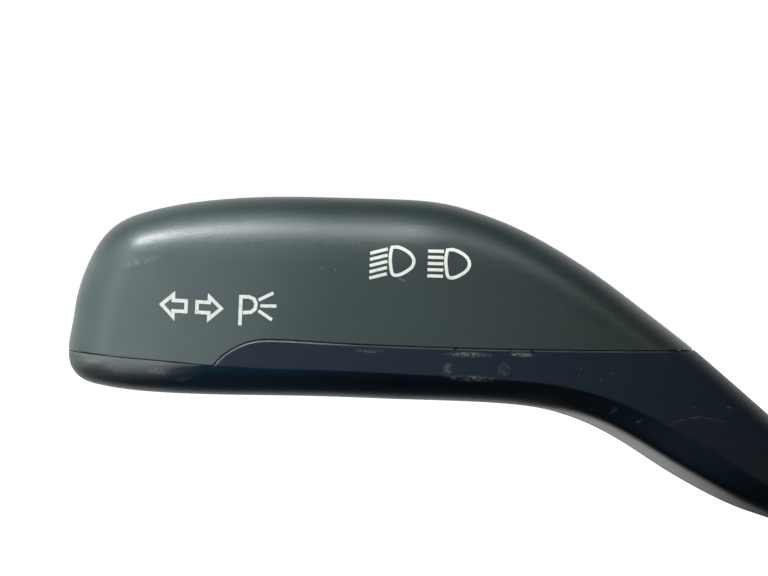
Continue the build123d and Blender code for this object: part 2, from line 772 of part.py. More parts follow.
with BuildPart() as indicator_carrier:
    with BuildSketch(at_depth(carrier_start)):
        with Locations((carrier_start_x, 0)):
            Rectangle(
                carrier_front_reach + carrier_back_reach, 2 * carrier_half_height,
                align=(Align.MIN, Align.CENTER)
            )
    extrude(amount=carrier_depth)
    fillet(indicator_carrier.edges().filter_by(Axis.Y), 2)
    with BuildSketch(at_depth(mid_depth)):
        with BuildLine():
            sweep_half = 35
            arc = CenterArc((pivot_x, 0), detent_radius, -90 - sweep_half, 2 * sweep_half)
            Polyline(arc @ 1, (pivot_x, 0), arc @ 0)
        make_face()
        for angle in (-indicator_swing, 0, indicator_swing):
            notch = Vector(0, -detent_radius - notch_radius * 0.4).rotate(Axis.Z, angle)
            with Locations((pivot_x + notch.X, notch.Y)):
                Circle(notch_radius, mode=Mode.SUBTRACT)
    extrude(amount=detent_width / 2, both=True)
    with BuildSketch(at_depth(rear_bore_start + 0.3)):
        with Locations((pivot_x, 0)):
            Circle(trunnion_radius)
    extrude(amount=front_bore_end - rear_bore_start - 0.6)
    with BuildSketch(at_depth(peg_end)):
        with Locations((pivot_x + drive_arm, 0)):
            Circle(peg_radius)
    extrude(amount=carrier_start - peg_end)
    with BuildSketch(at_depth(carrier_end)):
        with Locations((pawl_pin_x - 4, carriage_rail_inner + carriage_rail_height / 2)):
            Rectangle(10, carriage_rail_height)
        with Locations((pawl_pin_x - 4, -carriage_rail_inner - carriage_rail_height / 2)):
            Rectangle(10, carriage_rail_height)
    extrude(amount=carriage_end - carrier_end)
    with BuildSketch(at_pivot_height(-cavity_half)):
        Circle(cavity_reach)
        Rectangle(3 * cavity_reach, 2 * cavity_half, mode=Mode.INTERSECT)
        for angle in (0, -beam_swing):
            groove_centre = Vector(cavity_reach - 0.4, 0).rotate(Axis.Z, angle)
            with Locations((groove_centre.X, groove_centre.Y)):
                Circle(0.9)
    extrude(amount=2 * cavity_half, mode=Mode.SUBTRACT)
    with BuildSketch(at_pivot_height(-carrier_half_height)):
        Circle(beam_pin_radius)
    extrude(amount=2 * carrier_half_height, mode=Mode.SUBTRACT)
    with BuildSketch(at_depth(carrier_start)):
        with Locations((pivot_x + pusher_arm, 0)):
            Circle(pusher_radius + pivot_gap)
    extrude(amount=carrier_depth / 2, mode=Mode.SUBTRACT)
indicator_carrier.part.label = "indicator_carrier"
export_step(indicator_carrier.part, "parts/indicator_carrier.step")

with BuildPart() as beam_pin:
    with BuildSketch(at_pivot_height(-carrier_half_height)):
        Circle(beam_pin_radius)
    extrude(amount=2 * carrier_half_height)
    chamfer(beam_pin.edges().filter_by(GeomType.CIRCLE), beam_pin_radius / 5)
beam_pin.part.label = "beam_pin"
export_step(beam_pin.part, "parts/beam_pin.step")


# Detent plungers and their springs

with BuildPart() as indicator_plunger:
    with BuildSketch(Plane(origin=(pivot_x, -mid_depth, 0), x_dir=(1, 0, 0), z_dir=(0, -1, 0))):
        shoulder_z = -tower_mouth + 0.2
        nose_z = -plunger_tip - plunger_nose
        with BuildLine():
            Polyline((0, -plunger_base), (plunger_radius, -plunger_base), (plunger_radius, shoulder_z - 1))
            Line((plunger_radius, shoulder_z - 1), (plunger_nose, nose_z))
            CenterArc((0, nose_z), plunger_nose, 0, 90)
            Line((0, -plunger_tip), (0, -plunger_base))
        make_face()
    revolve(axis=Axis((pivot_x, -mid_depth, 0), (0, 0, 1)))
indicator_plunger.part.label = "indicator_plunger"
export_step(indicator_plunger.part, "parts/indicator_plunger.step")

beam_tip_x = pivot_x + cavity_reach - 0.2

with BuildPart() as beam_plunger:
    with BuildSketch(across_lever(beam_tip_x - beam_plunger_length)):
        Circle(beam_plunger_radius)
    extrude(amount=beam_plunger_length)
    nose = beam_plunger.faces().sort_by(Axis.X)[-1]
    chamfer(nose.edges(), beam_plunger_radius * 0.7)
beam_plunger.part.label = "beam_plunger"
export_step(beam_plunger.part, "parts/beam_plunger.step")


def coil_spring(start, direction, side, radius, length, turns, wire):
    """Coil of square wire between two seats, its first turn starting towards side."""
    axis = Vector(direction)
    with BuildPart() as spring:
        with BuildLine() as coil:
            Helix(
                pitch=(length - wire) / turns,
                height=length - wire,
                radius=radius,
                center=Vector(start) + axis * wire / 2,
                direction=axis,
            )
        with BuildSketch(Plane(origin=coil.line @ 0, x_dir=side, z_dir=coil.line % 0)):
            Rectangle(wire, wire)
        sweep(is_frenet=True)
    return spring.part


with BuildPart() as indicator_detent_spring:
    add(coil_spring(
        (pivot_x, -mid_depth, -spring_seat), (0, 0, 1), (1, 0, 0),
        plunger_radius - 0.45, detent_spring_length, 3, 0.6,
    ))
indicator_detent_spring.part.label = "indicator_detent_spring"
export_step(indicator_detent_spring.part, "parts/indicator_detent_spring.step")

with BuildPart() as beam_detent_spring:
    add(coil_spring(
        (beam_bore_end_x, -mid_depth, 0), (1, 0, 0), (0, 0, 1),
        beam_plunger_radius - 0.4, beam_spring_length, 2, 0.5,
    ))
beam_detent_spring.part.label = "beam_detent_spring"
export_step(beam_detent_spring.part, "parts/beam_detent_spring.step")

# Threaded barrel that holds the indicator's plunger and spring, screwed in from below
with BuildPart() as detent_plug:
    with BuildSketch(at_pivot_height(-barrel_end)):
        Circle(barrel_radius)
    extrude(amount=barrel_end - tower_mouth - slide_gap)
    with BuildSketch(at_pivot_height(-tower_end - plug_thickness)):
        RegularPolygon(tower_radius, 6)
    extrude(amount=plug_thickness)
    with BuildSketch(at_pivot_height(-spring_seat)):
        Circle(barrel_bore)
    extrude(amount=spring_seat, mode=Mode.SUBTRACT)
    with BuildSketch(at_pivot_height(-barrel_end)):
        Rectangle(2 * barrel_radius, blade_thickness)
    extrude(amount=plug_thickness / 2, mode=Mode.SUBTRACT)
detent_plug.part.label = "detent_plug"
export_step(detent_plug.part, "parts/detent_plug.step")


# Contact slide, driven across the board by the carrier's peg

slot_length = 2 * peg_radius + drive_arm * (1 - cos(radians(indicator_swing))) + 4 * slide_gap
slot_x = pivot_x + drive_arm - drive_arm * (1 - cos(radians(indicator_swing))) / 2

with BuildPart() as contact_slide:
    with BuildSketch(at_depth(slide_start)):
        with Locations((slide_x, 0)):
            Rectangle(slide_width, slide_length)
    extrude(amount=flange_thickness)
    with BuildSketch(at_depth(slide_start + flange_thickness)):
        with Locations((slide_x, 0)):
            Rectangle(slide_width - 2 * lip_reach - 2 * slide_gap, slide_length)
    extrude(amount=slide_thickness - flange_thickness)
    with BuildSketch(at_depth(slide_start)):
        with Locations((slot_x, 0)):
            Rectangle(slot_length, 2 * (peg_radius + pivot_gap))
    extrude(amount=slide_thickness, mode=Mode.SUBTRACT)
    # Lightening pockets
    with BuildSketch(at_depth(slide_start + slide_thickness)):
        with Locations((slide_x, slide_length / 3.4), (slide_x, -slide_length / 3.4)):
            RectangleRounded(slide_width / 2, slide_length / 4.5, 0.6)
    extrude(amount=-slide_thickness / 2, mode=Mode.SUBTRACT)
contact_slide.part.label = "contact_slide"
export_step(contact_slide.part, "parts/contact_slide.step")

with BuildPart() as contact_bridges:
    with BuildSketch(at_depth(bridge_start)):
        with Locations((slide_x, 2 * drive_travel), (slide_x, -2 * drive_travel)):
            Rectangle(2 * (pad_offset + pad_radius), 2 * pad_radius)
    extrude(amount=contact_thickness)
contact_bridges.part.label = "contact_bridges"
export_step(contact_bridges.part, "parts/contact_bridges.step")

pusher_start = carrier_start - 0.3
pusher_tip = mid_depth - tail_half_depth - pivot_gap

with BuildPart() as beam_pusher:
    with BuildSketch(at_depth(pusher_start)):
        with Locations((pivot_x + pusher_arm, 0)):
            Circle(pusher_radius)
    extrude(amount=pusher_tip - pusher_start)
    nose = beam_pusher.faces().sort_by(Axis.Y)[0]
    chamfer(nose.edges(), pusher_radius * 0.6)
beam_pusher.part.label = "beam_pusher"
export_step(beam_pusher.part, "parts/beam_pusher.step")


# Cancelling pawl on its sprung carriage

carriage_rear_x = pawl_pin_x - 6.5
carriage_front_x = pawl_pin_x + 3.0
pawl_tip_x = pawl_end_gap - bore_radius - 2 * pawl_end_gap

with BuildPart() as pawl_carriage:
    with BuildSketch(at_depth(carriage_start)):
        with Locations((carriage_rear_x, 0)):
            Rectangle(
                carriage_front_x - carriage_rear_x, 2 * carriage_half_height,
                align=(Align.MIN, Align.CENTER)
            )
    extrude(amount=carriage_thickness)
    with BuildSketch(at_depth(carriage_end)):
        with Locations((pawl_pin_x, 0)):
            Circle(pawl_pin_radius)
    extrude(amount=pawl_thickness + slide_gap)
pawl_carriage.part.label = "pawl_carriage"
export_step(pawl_carriage.part, "parts/pawl_carriage.step")

with BuildPart() as cancel_pawl:
    with BuildSketch(at_depth(pawl_start)):
        with Locations((pawl_pin_x, 0)):
            Circle(2 * pawl_pin_radius)
        with Locations((pawl_tip_x - pawl_nose_radius, 0)):
            Circle(pawl_nose_radius)
        make_hull()
        with Locations((pawl_pin_x, 0)):
            Circle(pawl_pin_radius + pivot_gap, mode=Mode.SUBTRACT)
    extrude(amount=pawl_thickness)
cancel_pawl.part.label = "cancel_pawl"
export_step(cancel_pawl.part, "parts/cancel_pawl.step")

wire = 0.6
loop_radius = trunnion_radius + slide_gap + wire / 2

with BuildPart() as pawl_spring:
    with BuildSketch(at_depth((carriage_start + carriage_end) / 2)):
        with BuildLine():
            opening = 55
            loop = CenterArc((pivot_x, 0), loop_radius, opening, 360 - 2 * opening)
            Line(loop @ 0, (carriage_rear_x - pivot_gap - wire / 2, carriage_half_height - wire))
            Line(loop @ 1, (carriage_rear_x - pivot_gap - wire / 2, wire - carriage_half_height))
        trace(line_width=wire)
    extrude(amount=wire / 2, both=True)
pawl_spring.part.label = "pawl_spring"
export_step(pawl_spring.part, "parts/pawl_spring.step")
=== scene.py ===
import math

import bmesh
import bpy
import numpy as np
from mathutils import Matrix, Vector


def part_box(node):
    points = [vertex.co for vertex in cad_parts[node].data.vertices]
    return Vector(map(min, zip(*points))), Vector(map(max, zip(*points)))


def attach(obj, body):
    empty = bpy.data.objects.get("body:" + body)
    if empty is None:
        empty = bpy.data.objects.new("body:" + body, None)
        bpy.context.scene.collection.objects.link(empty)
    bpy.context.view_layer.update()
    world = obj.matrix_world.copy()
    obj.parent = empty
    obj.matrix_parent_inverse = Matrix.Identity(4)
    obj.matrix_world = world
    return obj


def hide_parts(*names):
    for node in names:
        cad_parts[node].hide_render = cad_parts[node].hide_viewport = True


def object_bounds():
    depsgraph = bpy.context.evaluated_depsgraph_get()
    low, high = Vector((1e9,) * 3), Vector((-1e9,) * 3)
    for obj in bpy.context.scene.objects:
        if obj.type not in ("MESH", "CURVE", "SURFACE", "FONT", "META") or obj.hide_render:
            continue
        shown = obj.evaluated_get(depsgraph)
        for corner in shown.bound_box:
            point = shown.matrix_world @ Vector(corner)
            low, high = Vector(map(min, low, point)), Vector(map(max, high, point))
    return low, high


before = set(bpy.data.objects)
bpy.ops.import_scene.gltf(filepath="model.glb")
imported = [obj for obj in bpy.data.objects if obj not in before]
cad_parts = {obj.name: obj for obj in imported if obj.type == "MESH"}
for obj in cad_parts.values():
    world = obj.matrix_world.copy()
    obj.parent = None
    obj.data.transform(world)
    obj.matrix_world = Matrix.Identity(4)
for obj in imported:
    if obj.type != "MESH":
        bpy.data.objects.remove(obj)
cad_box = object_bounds()

# Switch housing and cover. Tray and lid of black glass-filled nylon, injection moulded, with the
# spark-eroded grain of the tool on their outsides. Four screws hold the lid on.

housing_colour = (0.030, 0.031, 0.033)
cover_colour = (0.036, 0.037, 0.039)
grain_size = 0.00035


class Wire:
    """A socket of a material. Arithmetic on it adds the Math nodes that work it out."""

    def __init__(self, tree, socket=None):
        self.tree = tree
        self.socket = socket

    def node(self, kind, settings=None, values=None, output=0):
        """Any other node, from its type, its settings, and the values or links of its sockets."""
        made = self.tree.nodes.new(kind)
        for name, setting in (settings or {}).items():
            if name == "stops":
                stops = made.color_ramp.elements
                while len(stops) < len(setting):
                    stops.new(0.5)
                for stop, (place, level) in zip(stops, setting):
                    stop.position = place
                    stop.color = (level, level, level, 1.0)
            else:
                setattr(made, name, setting)
        for key, value in (values or {}).items():
            if isinstance(value, Wire):
                self.tree.links.new(value.socket, made.inputs[key])
            else:
                made.inputs[key].default_value = value
        return Wire(self.tree, made.outputs[output] if len(made.outputs) else None)

    def maths(self, operation, *terms):
        return self.node("ShaderNodeMath", {"operation": operation}, dict(enumerate(terms)))

    def __add__(self, other):
        return self.maths("ADD", self, other)

    def __radd__(self, other):
        return self.maths("ADD", other, self)

    def __sub__(self, other):
        return self.maths("SUBTRACT", self, other)

    def __rsub__(self, other):
        return self.maths("SUBTRACT", other, self)

    def __mul__(self, other):
        return self.maths("MULTIPLY", self, other)

    def __rmul__(self, other):
        return self.maths("MULTIPLY", other, self)

    def above(self, edge, softness):
        """1 where this value is over an edge and 0 under it, with a soft step between."""
        return self.node(
            "ShaderNodeMapRange",
            {"interpolation_type": "SMOOTHSTEP"},
            {"Value": self, "From Min": edge - softness, "From Max": edge + softness},
        )

    def noise(self, size, detail=2.0, roughness=0.5, stretch=(1.0, 1.0, 1.0), shift=(0.0, 0.0, 0.0)):
        """Soft random value between 0 and 1 with features of about the given size in metres."""
        moved = self.node("ShaderNodeMapping", {}, {"Vector": self, "Location": shift, "Scale": stretch})
        return self.node(
            "ShaderNodeTexNoise",
            {},
            {"Vector": moved, "Scale": 1.0 / size, "Detail": detail, "Roughness": roughness},
        )


def mixed(amount, first, second):
    """Colour between two others, first where the amount is 0."""
    as_rgba = [c if isinstance(c, Wire) else (*c, 1.0) for c in (first, second)]
    return amount.node(
        "ShaderNodeMix",
        {"data_type": "RGBA"},
        {"Factor": amount, 6: as_rgba[0], 7: as_rgba[1]},
        output=2,
    )


def new_finish(name):
    """Empty material, with its Principled shader and a wire that carries Object coordinates."""
    material = bpy.data.materials.new(name)
    material.use_nodes = True
    shader = material.node_tree.nodes["Principled BSDF"]
    start = Wire(material.node_tree)
    return material, shader, start.node("ShaderNodeTexCoord", output=3)


def fill(shader, place, **sockets):
    """Sets or links the shader's own sockets; underscores stand for the spaces in their names."""
    for name, value in sockets.items():
        socket = shader.inputs[name.replace("_", " ")]
        if isinstance(value, Wire):
            place.tree.links.new(value.socket, socket)
        else:
            socket.default_value = value


def bumped(height, depth):
    """Normal of a surface raised by height times depth in metres."""
    return height.node("ShaderNodeBump", {}, {"Height": height, "Strength": 1.0, "Distance": depth})


def moulded(name, colour, rough, grain=grain_size, tint=0.25, relief=0.000012):
    """Moulded plastic: tool grain, cloudy shade from the flow of the melt, and fine scuffs."""
    material, shader, place = new_finish(name)
    cloud = place.noise(0.011, detail=3.0)
    flow = place.noise(0.004, detail=2.0, stretch=(0.25, 1.0, 1.0))
    fine = place.noise(grain, detail=1.0)
    scuffs = place.noise(0.0006, detail=2.0, stretch=(0.08, 1.0, 0.8)).above(0.68, 0.03)
    shade = cloud * 0.6 + flow * 0.4
    pale = tuple(min(1.0, c * (1 + tint) + 0.004) for c in colour)
    dark = tuple(c * (1 - tint) for c in colour)
    body = mixed(shade, dark, pale)
    worn = mixed(scuffs * 0.35, body, tuple(min(1.0, c * 1.8 + 0.02) for c in colour))
    fill(
        shader,
        place,
        Base_Color=worn,
        Roughness=rough + (shade - 0.5) * 0.12 + scuffs * 0.08,
        Normal=bumped(fine + scuffs * -0.3, relief),
        IOR=1.5,
    )
    return material


def wear(material, *nodes):
    """Gives CAD nodes a material."""
    for node in nodes:
        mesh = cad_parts[node].data
        mesh.materials.clear()
        mesh.materials.append(material)


wear(moulded("housing_nylon", housing_colour, 0.48), "switch_housing")
wear(moulded("cover_nylon", cover_colour, 0.44), "housing_cover")

# Screws. Zinc-plated steel, cold headed, four hexalobular heads in the lid and two cross heads
# that hold the handle to the lever core.

zinc_colour = (0.46, 0.47, 0.49)


def metal(name, colour, rough, tarnish, brushed=(1.0, 1.0, 1.0)):
    """Bare or plated metal with drawing lines and patches of tarnish."""
    material, shader, place = new_finish(name)
    lines = place.noise(0.00016, detail=2.0, stretch=brushed)
    patches = place.noise(0.0035, detail=3.0).above(0.56, 0.12)
    tone = mixed(patches * 0.7, colour, tarnish)
    fill(
        shader,
        place,
        Base_Color=mixed(lines * 0.35, tone, tuple(c * 0.7 for c in colour)),
        Metallic=1.0,
        Roughness=rough + lines * 0.16 + patches * 0.15,
        Normal=bumped(lines, 0.000004),
    )
    return material


zinc_plate = metal("zinc_plate", zinc_colour, 0.24, (0.30, 0.29, 0.27))
wear(zinc_plate, "cover_screws", "core_screws", "detent_plug")


def new_tree(name, sizes):
    """Empty geometry tree with a named input for each size, and wires from those inputs."""
    tree = bpy.data.node_groups.new(name, "GeometryNodeTree")
    tree.interface.new_socket("Geometry", in_out="INPUT", socket_type="NodeSocketGeometry")
    for label, value in sizes.items():
        kind = {int: "NodeSocketInt", float: "NodeSocketFloat"}.get(type(value), "NodeSocketMaterial")
        tree.interface.new_socket(label, in_out="INPUT", socket_type=kind)
    tree.interface.new_socket("Geometry", in_out="OUTPUT", socket_type="NodeSocketGeometry")
    entry = tree.nodes.new("NodeGroupInput")
    return tree, {label: Wire(tree, entry.outputs[label]) for label in ("Geometry", *sizes)}


def grown(name, points, tree, shape, sizes):
    """Runs a tree on a few points and leaves its result as the plain mesh of a new object."""
    real = shape.node("GeometryNodeRealizeInstances", {}, {"Geometry": shape})
    done = real.node("GeometryNodeSetMaterial", {}, {"Geometry": real, "Material": sizes["Material"]})
    leave = tree.nodes.new("NodeGroupOutput")
    tree.links.new(done.socket, leave.inputs[0])
    start = bpy.data.meshes.new(name)
    start.from_pydata(points, [], [])
    piece = bpy.data.objects.new(name, start)
    bpy.context.scene.collection.objects.link(piece)
    modifier = piece.modifiers.new(name, "NODES")
    modifier.node_group = tree
    for item in tree.interface.items_tree:
        if item.in_out == "INPUT" and item.name in sizes:
            modifier[item.identifier] = sizes[item.name]
    ready = piece.evaluated_get(bpy.context.evaluated_depsgraph_get())
    mesh = bpy.data.meshes.new_from_object(ready)
    piece.modifiers.remove(modifier)
    piece.data = mesh
    return piece


def joined(*parts):
    """The geometry of several parts together."""
    tree = parts[0].tree
    join = tree.nodes.new("GeometryNodeJoinGeometry")
    for part in parts:
        tree.links.new(part.socket, join.inputs[0])
    return Wire(tree, join.outputs[0])


def welded(part):
    """A part whose points that lie on each other are made one."""
    return part.node("GeometryNodeMergeByDistance", {}, {"Geometry": part, "Distance": 0.000001})


screw_places = ((-0.034, 0.018), (-0.034, -0.018), (0.028, 0.012), (0.028, -0.012))
side_share = 0.7
crown_share = 0.3
crown_taper = 0.8
lobe_depth = 0.72
lobe_rounding = 0.16
socket_floor = 0.4
screw_sizes = {
    "Head Radius": 0.0024,
    "Head Height": 0.0014,
    "Socket Radius": 0.00125,
    "Shank Radius": 0.00125,
    "Shank Length": 0.0106,
    "Material": zinc_plate,
}
tree, size = new_tree("lid_screws", screw_sizes)
disc = size["Geometry"].node(
    "GeometryNodeMeshCircle",
    {"fill_type": "NGON"},
    {"Vertices": 40, "Radius": size["Head Radius"]},
)
under = disc.node("GeometryNodeFlipFaces", {}, {"Mesh": disc})
side_height = size["Head Height"] * side_share
side = disc.node("GeometryNodeExtrudeMesh", {}, {"Mesh": disc, "Offset Scale": side_height})
side_top = Wire(tree, side.socket.node.outputs["Top"])
crown_height = size["Head Height"] * crown_share
crown = side.node(
    "GeometryNodeExtrudeMesh",
    {},
    {"Mesh": side, "Selection": side_top, "Offset Scale": crown_height},
)
crown_top = Wire(tree, crown.socket.node.outputs["Top"])
eased = crown.node(
    "GeometryNodeScaleElements",
    {},
    {"Geometry": crown, "Selection": crown_top, "Scale": crown_taper},
)
head = welded(joined(under, eased))
star = head.node(
    "GeometryNodeCurveStar",
    {},
    {"Points": 6, "Inner Radius": size["Socket Radius"] * lobe_depth, "Outer Radius": size["Socket Radius"]},
)
rounding = size["Socket Radius"] * lobe_rounding
lobes = star.node("GeometryNodeFilletCurve", {}, {"Curve": star, "Radius": rounding})
socket_face = lobes.node("GeometryNodeFillCurve", {}, {"Curve": lobes})
socket_under = lobes.node("GeometryNodeFlipFaces", {}, {"Mesh": socket_face})
socket_side = lobes.node(
    "GeometryNodeExtrudeMesh",
    {},
    {"Mesh": socket_face, "Offset Scale": size["Head Height"]},
)
cutter = welded(joined(socket_under, socket_side))
lift = head.node("ShaderNodeCombineXYZ", {}, {"Z": size["Head Height"] * socket_floor})
raised = head.node("GeometryNodeTransform", {}, {"Geometry": cutter, "Translation": lift})
socketed = head.node(
    "GeometryNodeMeshBoolean",
    {"operation": "DIFFERENCE"},
    {"Mesh 1": head, "Mesh 2": raised},
)
shank = head.node(
    "GeometryNodeMeshCylinder",
    {},
    {"Vertices": 24, "Radius": size["Shank Radius"], "Depth": size["Shank Length"]},
)
drop = head.node("ShaderNodeCombineXYZ", {}, {"Z": size["Shank Length"] * -0.4999})
lowered = head.node("GeometryNodeTransform", {}, {"Geometry": shank, "Translation": drop})
screw = joined(socketed, lowered)
set_in = head.node(
    "GeometryNodeInstanceOnPoints",
    {},
    {"Points": size["Geometry"], "Instance": screw, "Rotation": (math.radians(90), 0.0, 0.0)},
)
head_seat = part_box("cover_screws")[0][1] + screw_sizes["Head Height"]
seats = [(x, head_seat, z) for x, z in screw_places]
lid_screws = grown("lid_screws", seats, tree, set_in, screw_sizes)
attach(lid_screws, "housing")
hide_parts("cover_screws")

# Contact board, its riveted contacts and the connector's blades. The board is moulded from brown
# thermoset; the fixed contacts and blades are stamped brass, bright where the bridges rub.

board_colour = (0.17, 0.105, 0.055)
brass_colour = (0.72, 0.52, 0.24)
wear(moulded("board_phenolic", board_colour, 0.42, tint=0.18), "contact_board")
wear(
    metal("stamped_brass", brass_colour, 0.22, (0.38, 0.25, 0.12), brushed=(0.12, 1.0, 1.0)),
    "fixed_contacts",
    "terminals",
    "beam_contact_leaf",
    "contact_bridges",
)

# Carrier, slide, pusher, plungers and cancelling pawl. Natural acetal and nylon mouldings that
# run against each other without grease showing.

acetal_colour = (0.62, 0.60, 0.54)
pawl_colour = (0.33, 0.045, 0.03)
wear(
    moulded("natural_acetal", acetal_colour, 0.36, grain=0.0005, tint=0.06, relief=0.000005),
    "indicator_carrier",
    "contact_slide",
    "beam_pusher",
    "indicator_plunger",
    "beam_plunger",
)
wear(moulded("red_acetal", pawl_colour, 0.36, tint=0.1), "pawl_carriage", "cancel_pawl")

# Beam pin and the three springs. Ground steel pin and drawn spring wire.

wear(
    metal("spring_steel", (0.36, 0.36, 0.37), 0.25, (0.22, 0.20, 0.18), brushed=(1.0, 0.15, 1.0)),
    "beam_pin",
    "pawl_spring",
    "indicator_detent_spring",
    "beam_detent_spring",
)

# Lever core and the ball shield. Black glass-filled nylon; the shield is a snapped-on dome.

wear(moulded("core_nylon", (0.028, 0.029, 0.031), 0.5), "lever_core")
wear(moulded("shield_nylon", (0.033, 0.034, 0.036), 0.4), "slot_shield")

# Handle. Two hollow shells of satin charcoal plastic that meet on a stepped line; the lower one is
# screwed to the lever core. Outlines are in millimetres from the column's axis, X and Z.

mid_plane = -0.0165
half_depth = 6.5
root_x = -56.0
parting_gap = 0.17
fit_scale = 0.989
fit_shift = -1.88


def fitted(points):
    """Points brought inside the CAD box: X and Z to a hundredth of a millimetre, the rest as given."""
    return [(round(x * fit_scale + fit_shift, 2), round(z * fit_scale, 2), *rest) for x, z, *rest in points]


top_run = fitted([
    (-188.0, 25.0, 6.0),
    (-187.4, 29.0, 6.2),
    (-186.9, 32.1, 6.2),
    (-184.9, 38.0, 6.2),
    (-182.6, 41.6, 6.3),
    (-180.0, 43.6, 6.2),
    (-177.0, 44.7, 6.5),
    (-172.0, 45.8, 7.6),
    (-166.4, 46.5, 8.8),
    (-158.0, 46.9, 9.8),
    (-149.0, 46.75, 10.2),
    (-140.7, 46.5, 9.6),
    (-135.0, 46.0, 8.5),
    (-129.3, 44.5, 8.0),
    (-123.6, 42.2, 7.5),
    (-117.9, 39.1, 7.0),
    (-112.1, 35.3, 6.5),
    (-106.4, 31.0, 6.0),
    (-97.9, 24.3, 5.5),
    (-88.3, 15.9, 5.0),
    (-80.0, 9.3, 4.5),
    (-74.0, 6.0, 4.3),
    (-69.0, 4.7, 4.2),
])
top_run.append((root_x, 4.7, 4.2))
bottom_run = fitted([
    (-188.0, 25.0, 4.0, 0.0),
    (-187.65, 22.8, 3.4, 0.0),
    (-186.4, 21.2, 2.9, 0.0),
    (-183.6, 20.1, 2.6, 0.0),
    (-175.0, 19.0, 3.1, 0.0),
    (-168.0, 18.7, 4.1, 0.0),
    (-163.6, 18.6, 4.0, 0.0),
    (-152.0, 18.4, 3.75, 0.0),
    (-140.7, 18.0, 3.6, 0.0),
    (-126.4, 17.4, 3.35, 0.0),
    (-120.7, 16.7, 3.5, 0.5),
    (-115.0, 15.0, 4.1, 1.2),
    (-109.3, 12.1, 4.9, 1.6),
    (-103.6, 8.4, 5.4, 1.85),
    (-97.9, 5.1, 5.5, 1.85),
    (-92.1, 2.4, 4.7, 1.4),
    (-88.3, 1.1, 4.0, 0.85),
    (-80.0, -2.2, 3.4, 0.3),
    (-74.0, -4.1, 3.1, 0.1),
    (-69.0, -4.7, 3.0, 0.0),
])
bottom_run.append((root_x, -4.7, 3.0, 0.0))
parting_tip_side = fitted([(-188.0, 25.0), (-183.6, 24.4), (-176.4, 23.7), (-167.25, 22.8)])
parting_step_side = fitted([
    (-167.25, 22.8),
    (-166.5, 23.7),
    (-164.5, 25.2),
    (-162.3, 26.15),
    (-160.3, 26.5),
    (-158.0, 26.5),
    (-151.9, 26.15),
    (-137.9, 25.5),
    (-120.7, 25.07),
    (-99.0, 24.93),
])


def smooth_run(points, count, start=None, end=None):
    """Points evenly spaced on the natural cubic spline through some points."""
    knots = np.array(points, dtype=float)
    chord = np.concatenate([[0.0], np.cumsum(np.hypot(*np.diff(knots[:, :2], axis=0).T))])
    span = np.diff(chord)
    size = len(knots)
    system = np.zeros((size, size))
    known = np.zeros_like(knots)
    system[0, 0] = system[-1, -1] = 1.0
    for i in range(1, size - 1):
        system[i, i - 1 : i + 2] = span[i - 1], 2 * (span[i - 1] + span[i]), span[i]
        known[i] = 6 * ((knots[i + 1] - knots[i]) / span[i] - (knots[i] - knots[i - 1]) / span[i - 1])
    slopes = ((0, start, span[0]), (-1, end, span[-1]))
    for row, direction, step in slopes:
        if direction is not None:
            near, far = (0, 1) if row == 0 else (-1, -2)
            system[row, near], system[row, far] = 2 * step, step
            run = (knots[far] - knots[near]) / step
            tangent = np.append(np.array(direction, dtype=float), np.zeros(knots.shape[1] - 2))
            known[row] = 6 * (run - tangent) if row == 0 else 6 * (run + tangent)
            known[row, 2:] = 0.0
    bend = np.linalg.solve(system, known)
    at = np.linspace(0.0, chord[-1], count)
    cell = np.clip(np.searchsorted(chord, at, side="right") - 1, 0, size - 2)
    left = (chord[cell + 1] - at)[:, None]
    right = (at - chord[cell])[:, None]
    width = span[cell][:, None]
    return (
        bend[cell] * left**3 / (6 * width)
        + bend[cell + 1] * right**3 / (6 * width)
        + (knots[cell] / width - bend[cell] * width / 6) * left
        + (knots[cell + 1] / width - bend[cell + 1] * width / 6) * right
    )


outline_count = 1600
top_line = smooth_run(top_run, outline_count, start=(0, 1), end=(1, 0))
bottom_line = smooth_run(bottom_run, outline_count, start=(0, -1), end=(1, 0))
crease_share = 0.668
crease_swell = 0.06
corner_x = -167.3
swell_lead = 9.0
swell_run = 8.0
facet_slope = 3.4
facet_blend = 0.18
full_facet = 0.9
least_facet = 0.001
least_band = 0.1


def from_line(places, line):
    """Distance in from an outline, and the sizes that go with its nearest point."""
    gap = np.empty(len(places))
    size = np.empty((len(places), line.shape[1] - 2))
    for i in range(0, len(places), 2000):
        block = places[i : i + 2000, None, :2] - line[None, :, :2]
        squared = (block**2).sum(axis=2)
        nearest = squared.argmin(axis=1)
        gap[i : i + 2000] = np.sqrt(squared.min(axis=1))
        size[i : i + 2000] = line[nearest, 2:]
    return gap, size.T


def rise(places, with_crease):
    """How far the handle's surface stands off its mid-plane, in millimetres."""
    gap, (radius,) = from_line(places, top_line)
    share = np.sqrt(np.clip(1 - np.clip(1 - gap / radius, 0, 1) ** 2, 0, 1))
    if with_crease:
        gap, (crease, facet) = from_line(places, bottom_line)
        radius = crease / crease_share
        swell = 1 + crease_swell * np.clip((places[:, 0] - corner_x + swell_lead) / swell_run, 0, 1)
        lower = swell * np.sqrt(np.clip(1 - np.clip(1 - gap / radius, 0, 1) ** 2, 0, 1))
        facet = np.maximum(facet, least_facet)
        edge = facet_slope * facet / half_depth
        slope = edge * gap / facet
        band = np.maximum(crease - facet, least_band)
        above = edge + (1 - edge) * np.minimum((gap - facet) / band, 1)
        flat = (slope + above - np.hypot(slope - above, facet_blend)) / 2
        blend = np.clip(facet / full_facet, 0, 1)
        share = np.minimum(share, np.minimum(lower * (1 - blend) + flat * blend, 1.0))
    return half_depth * share


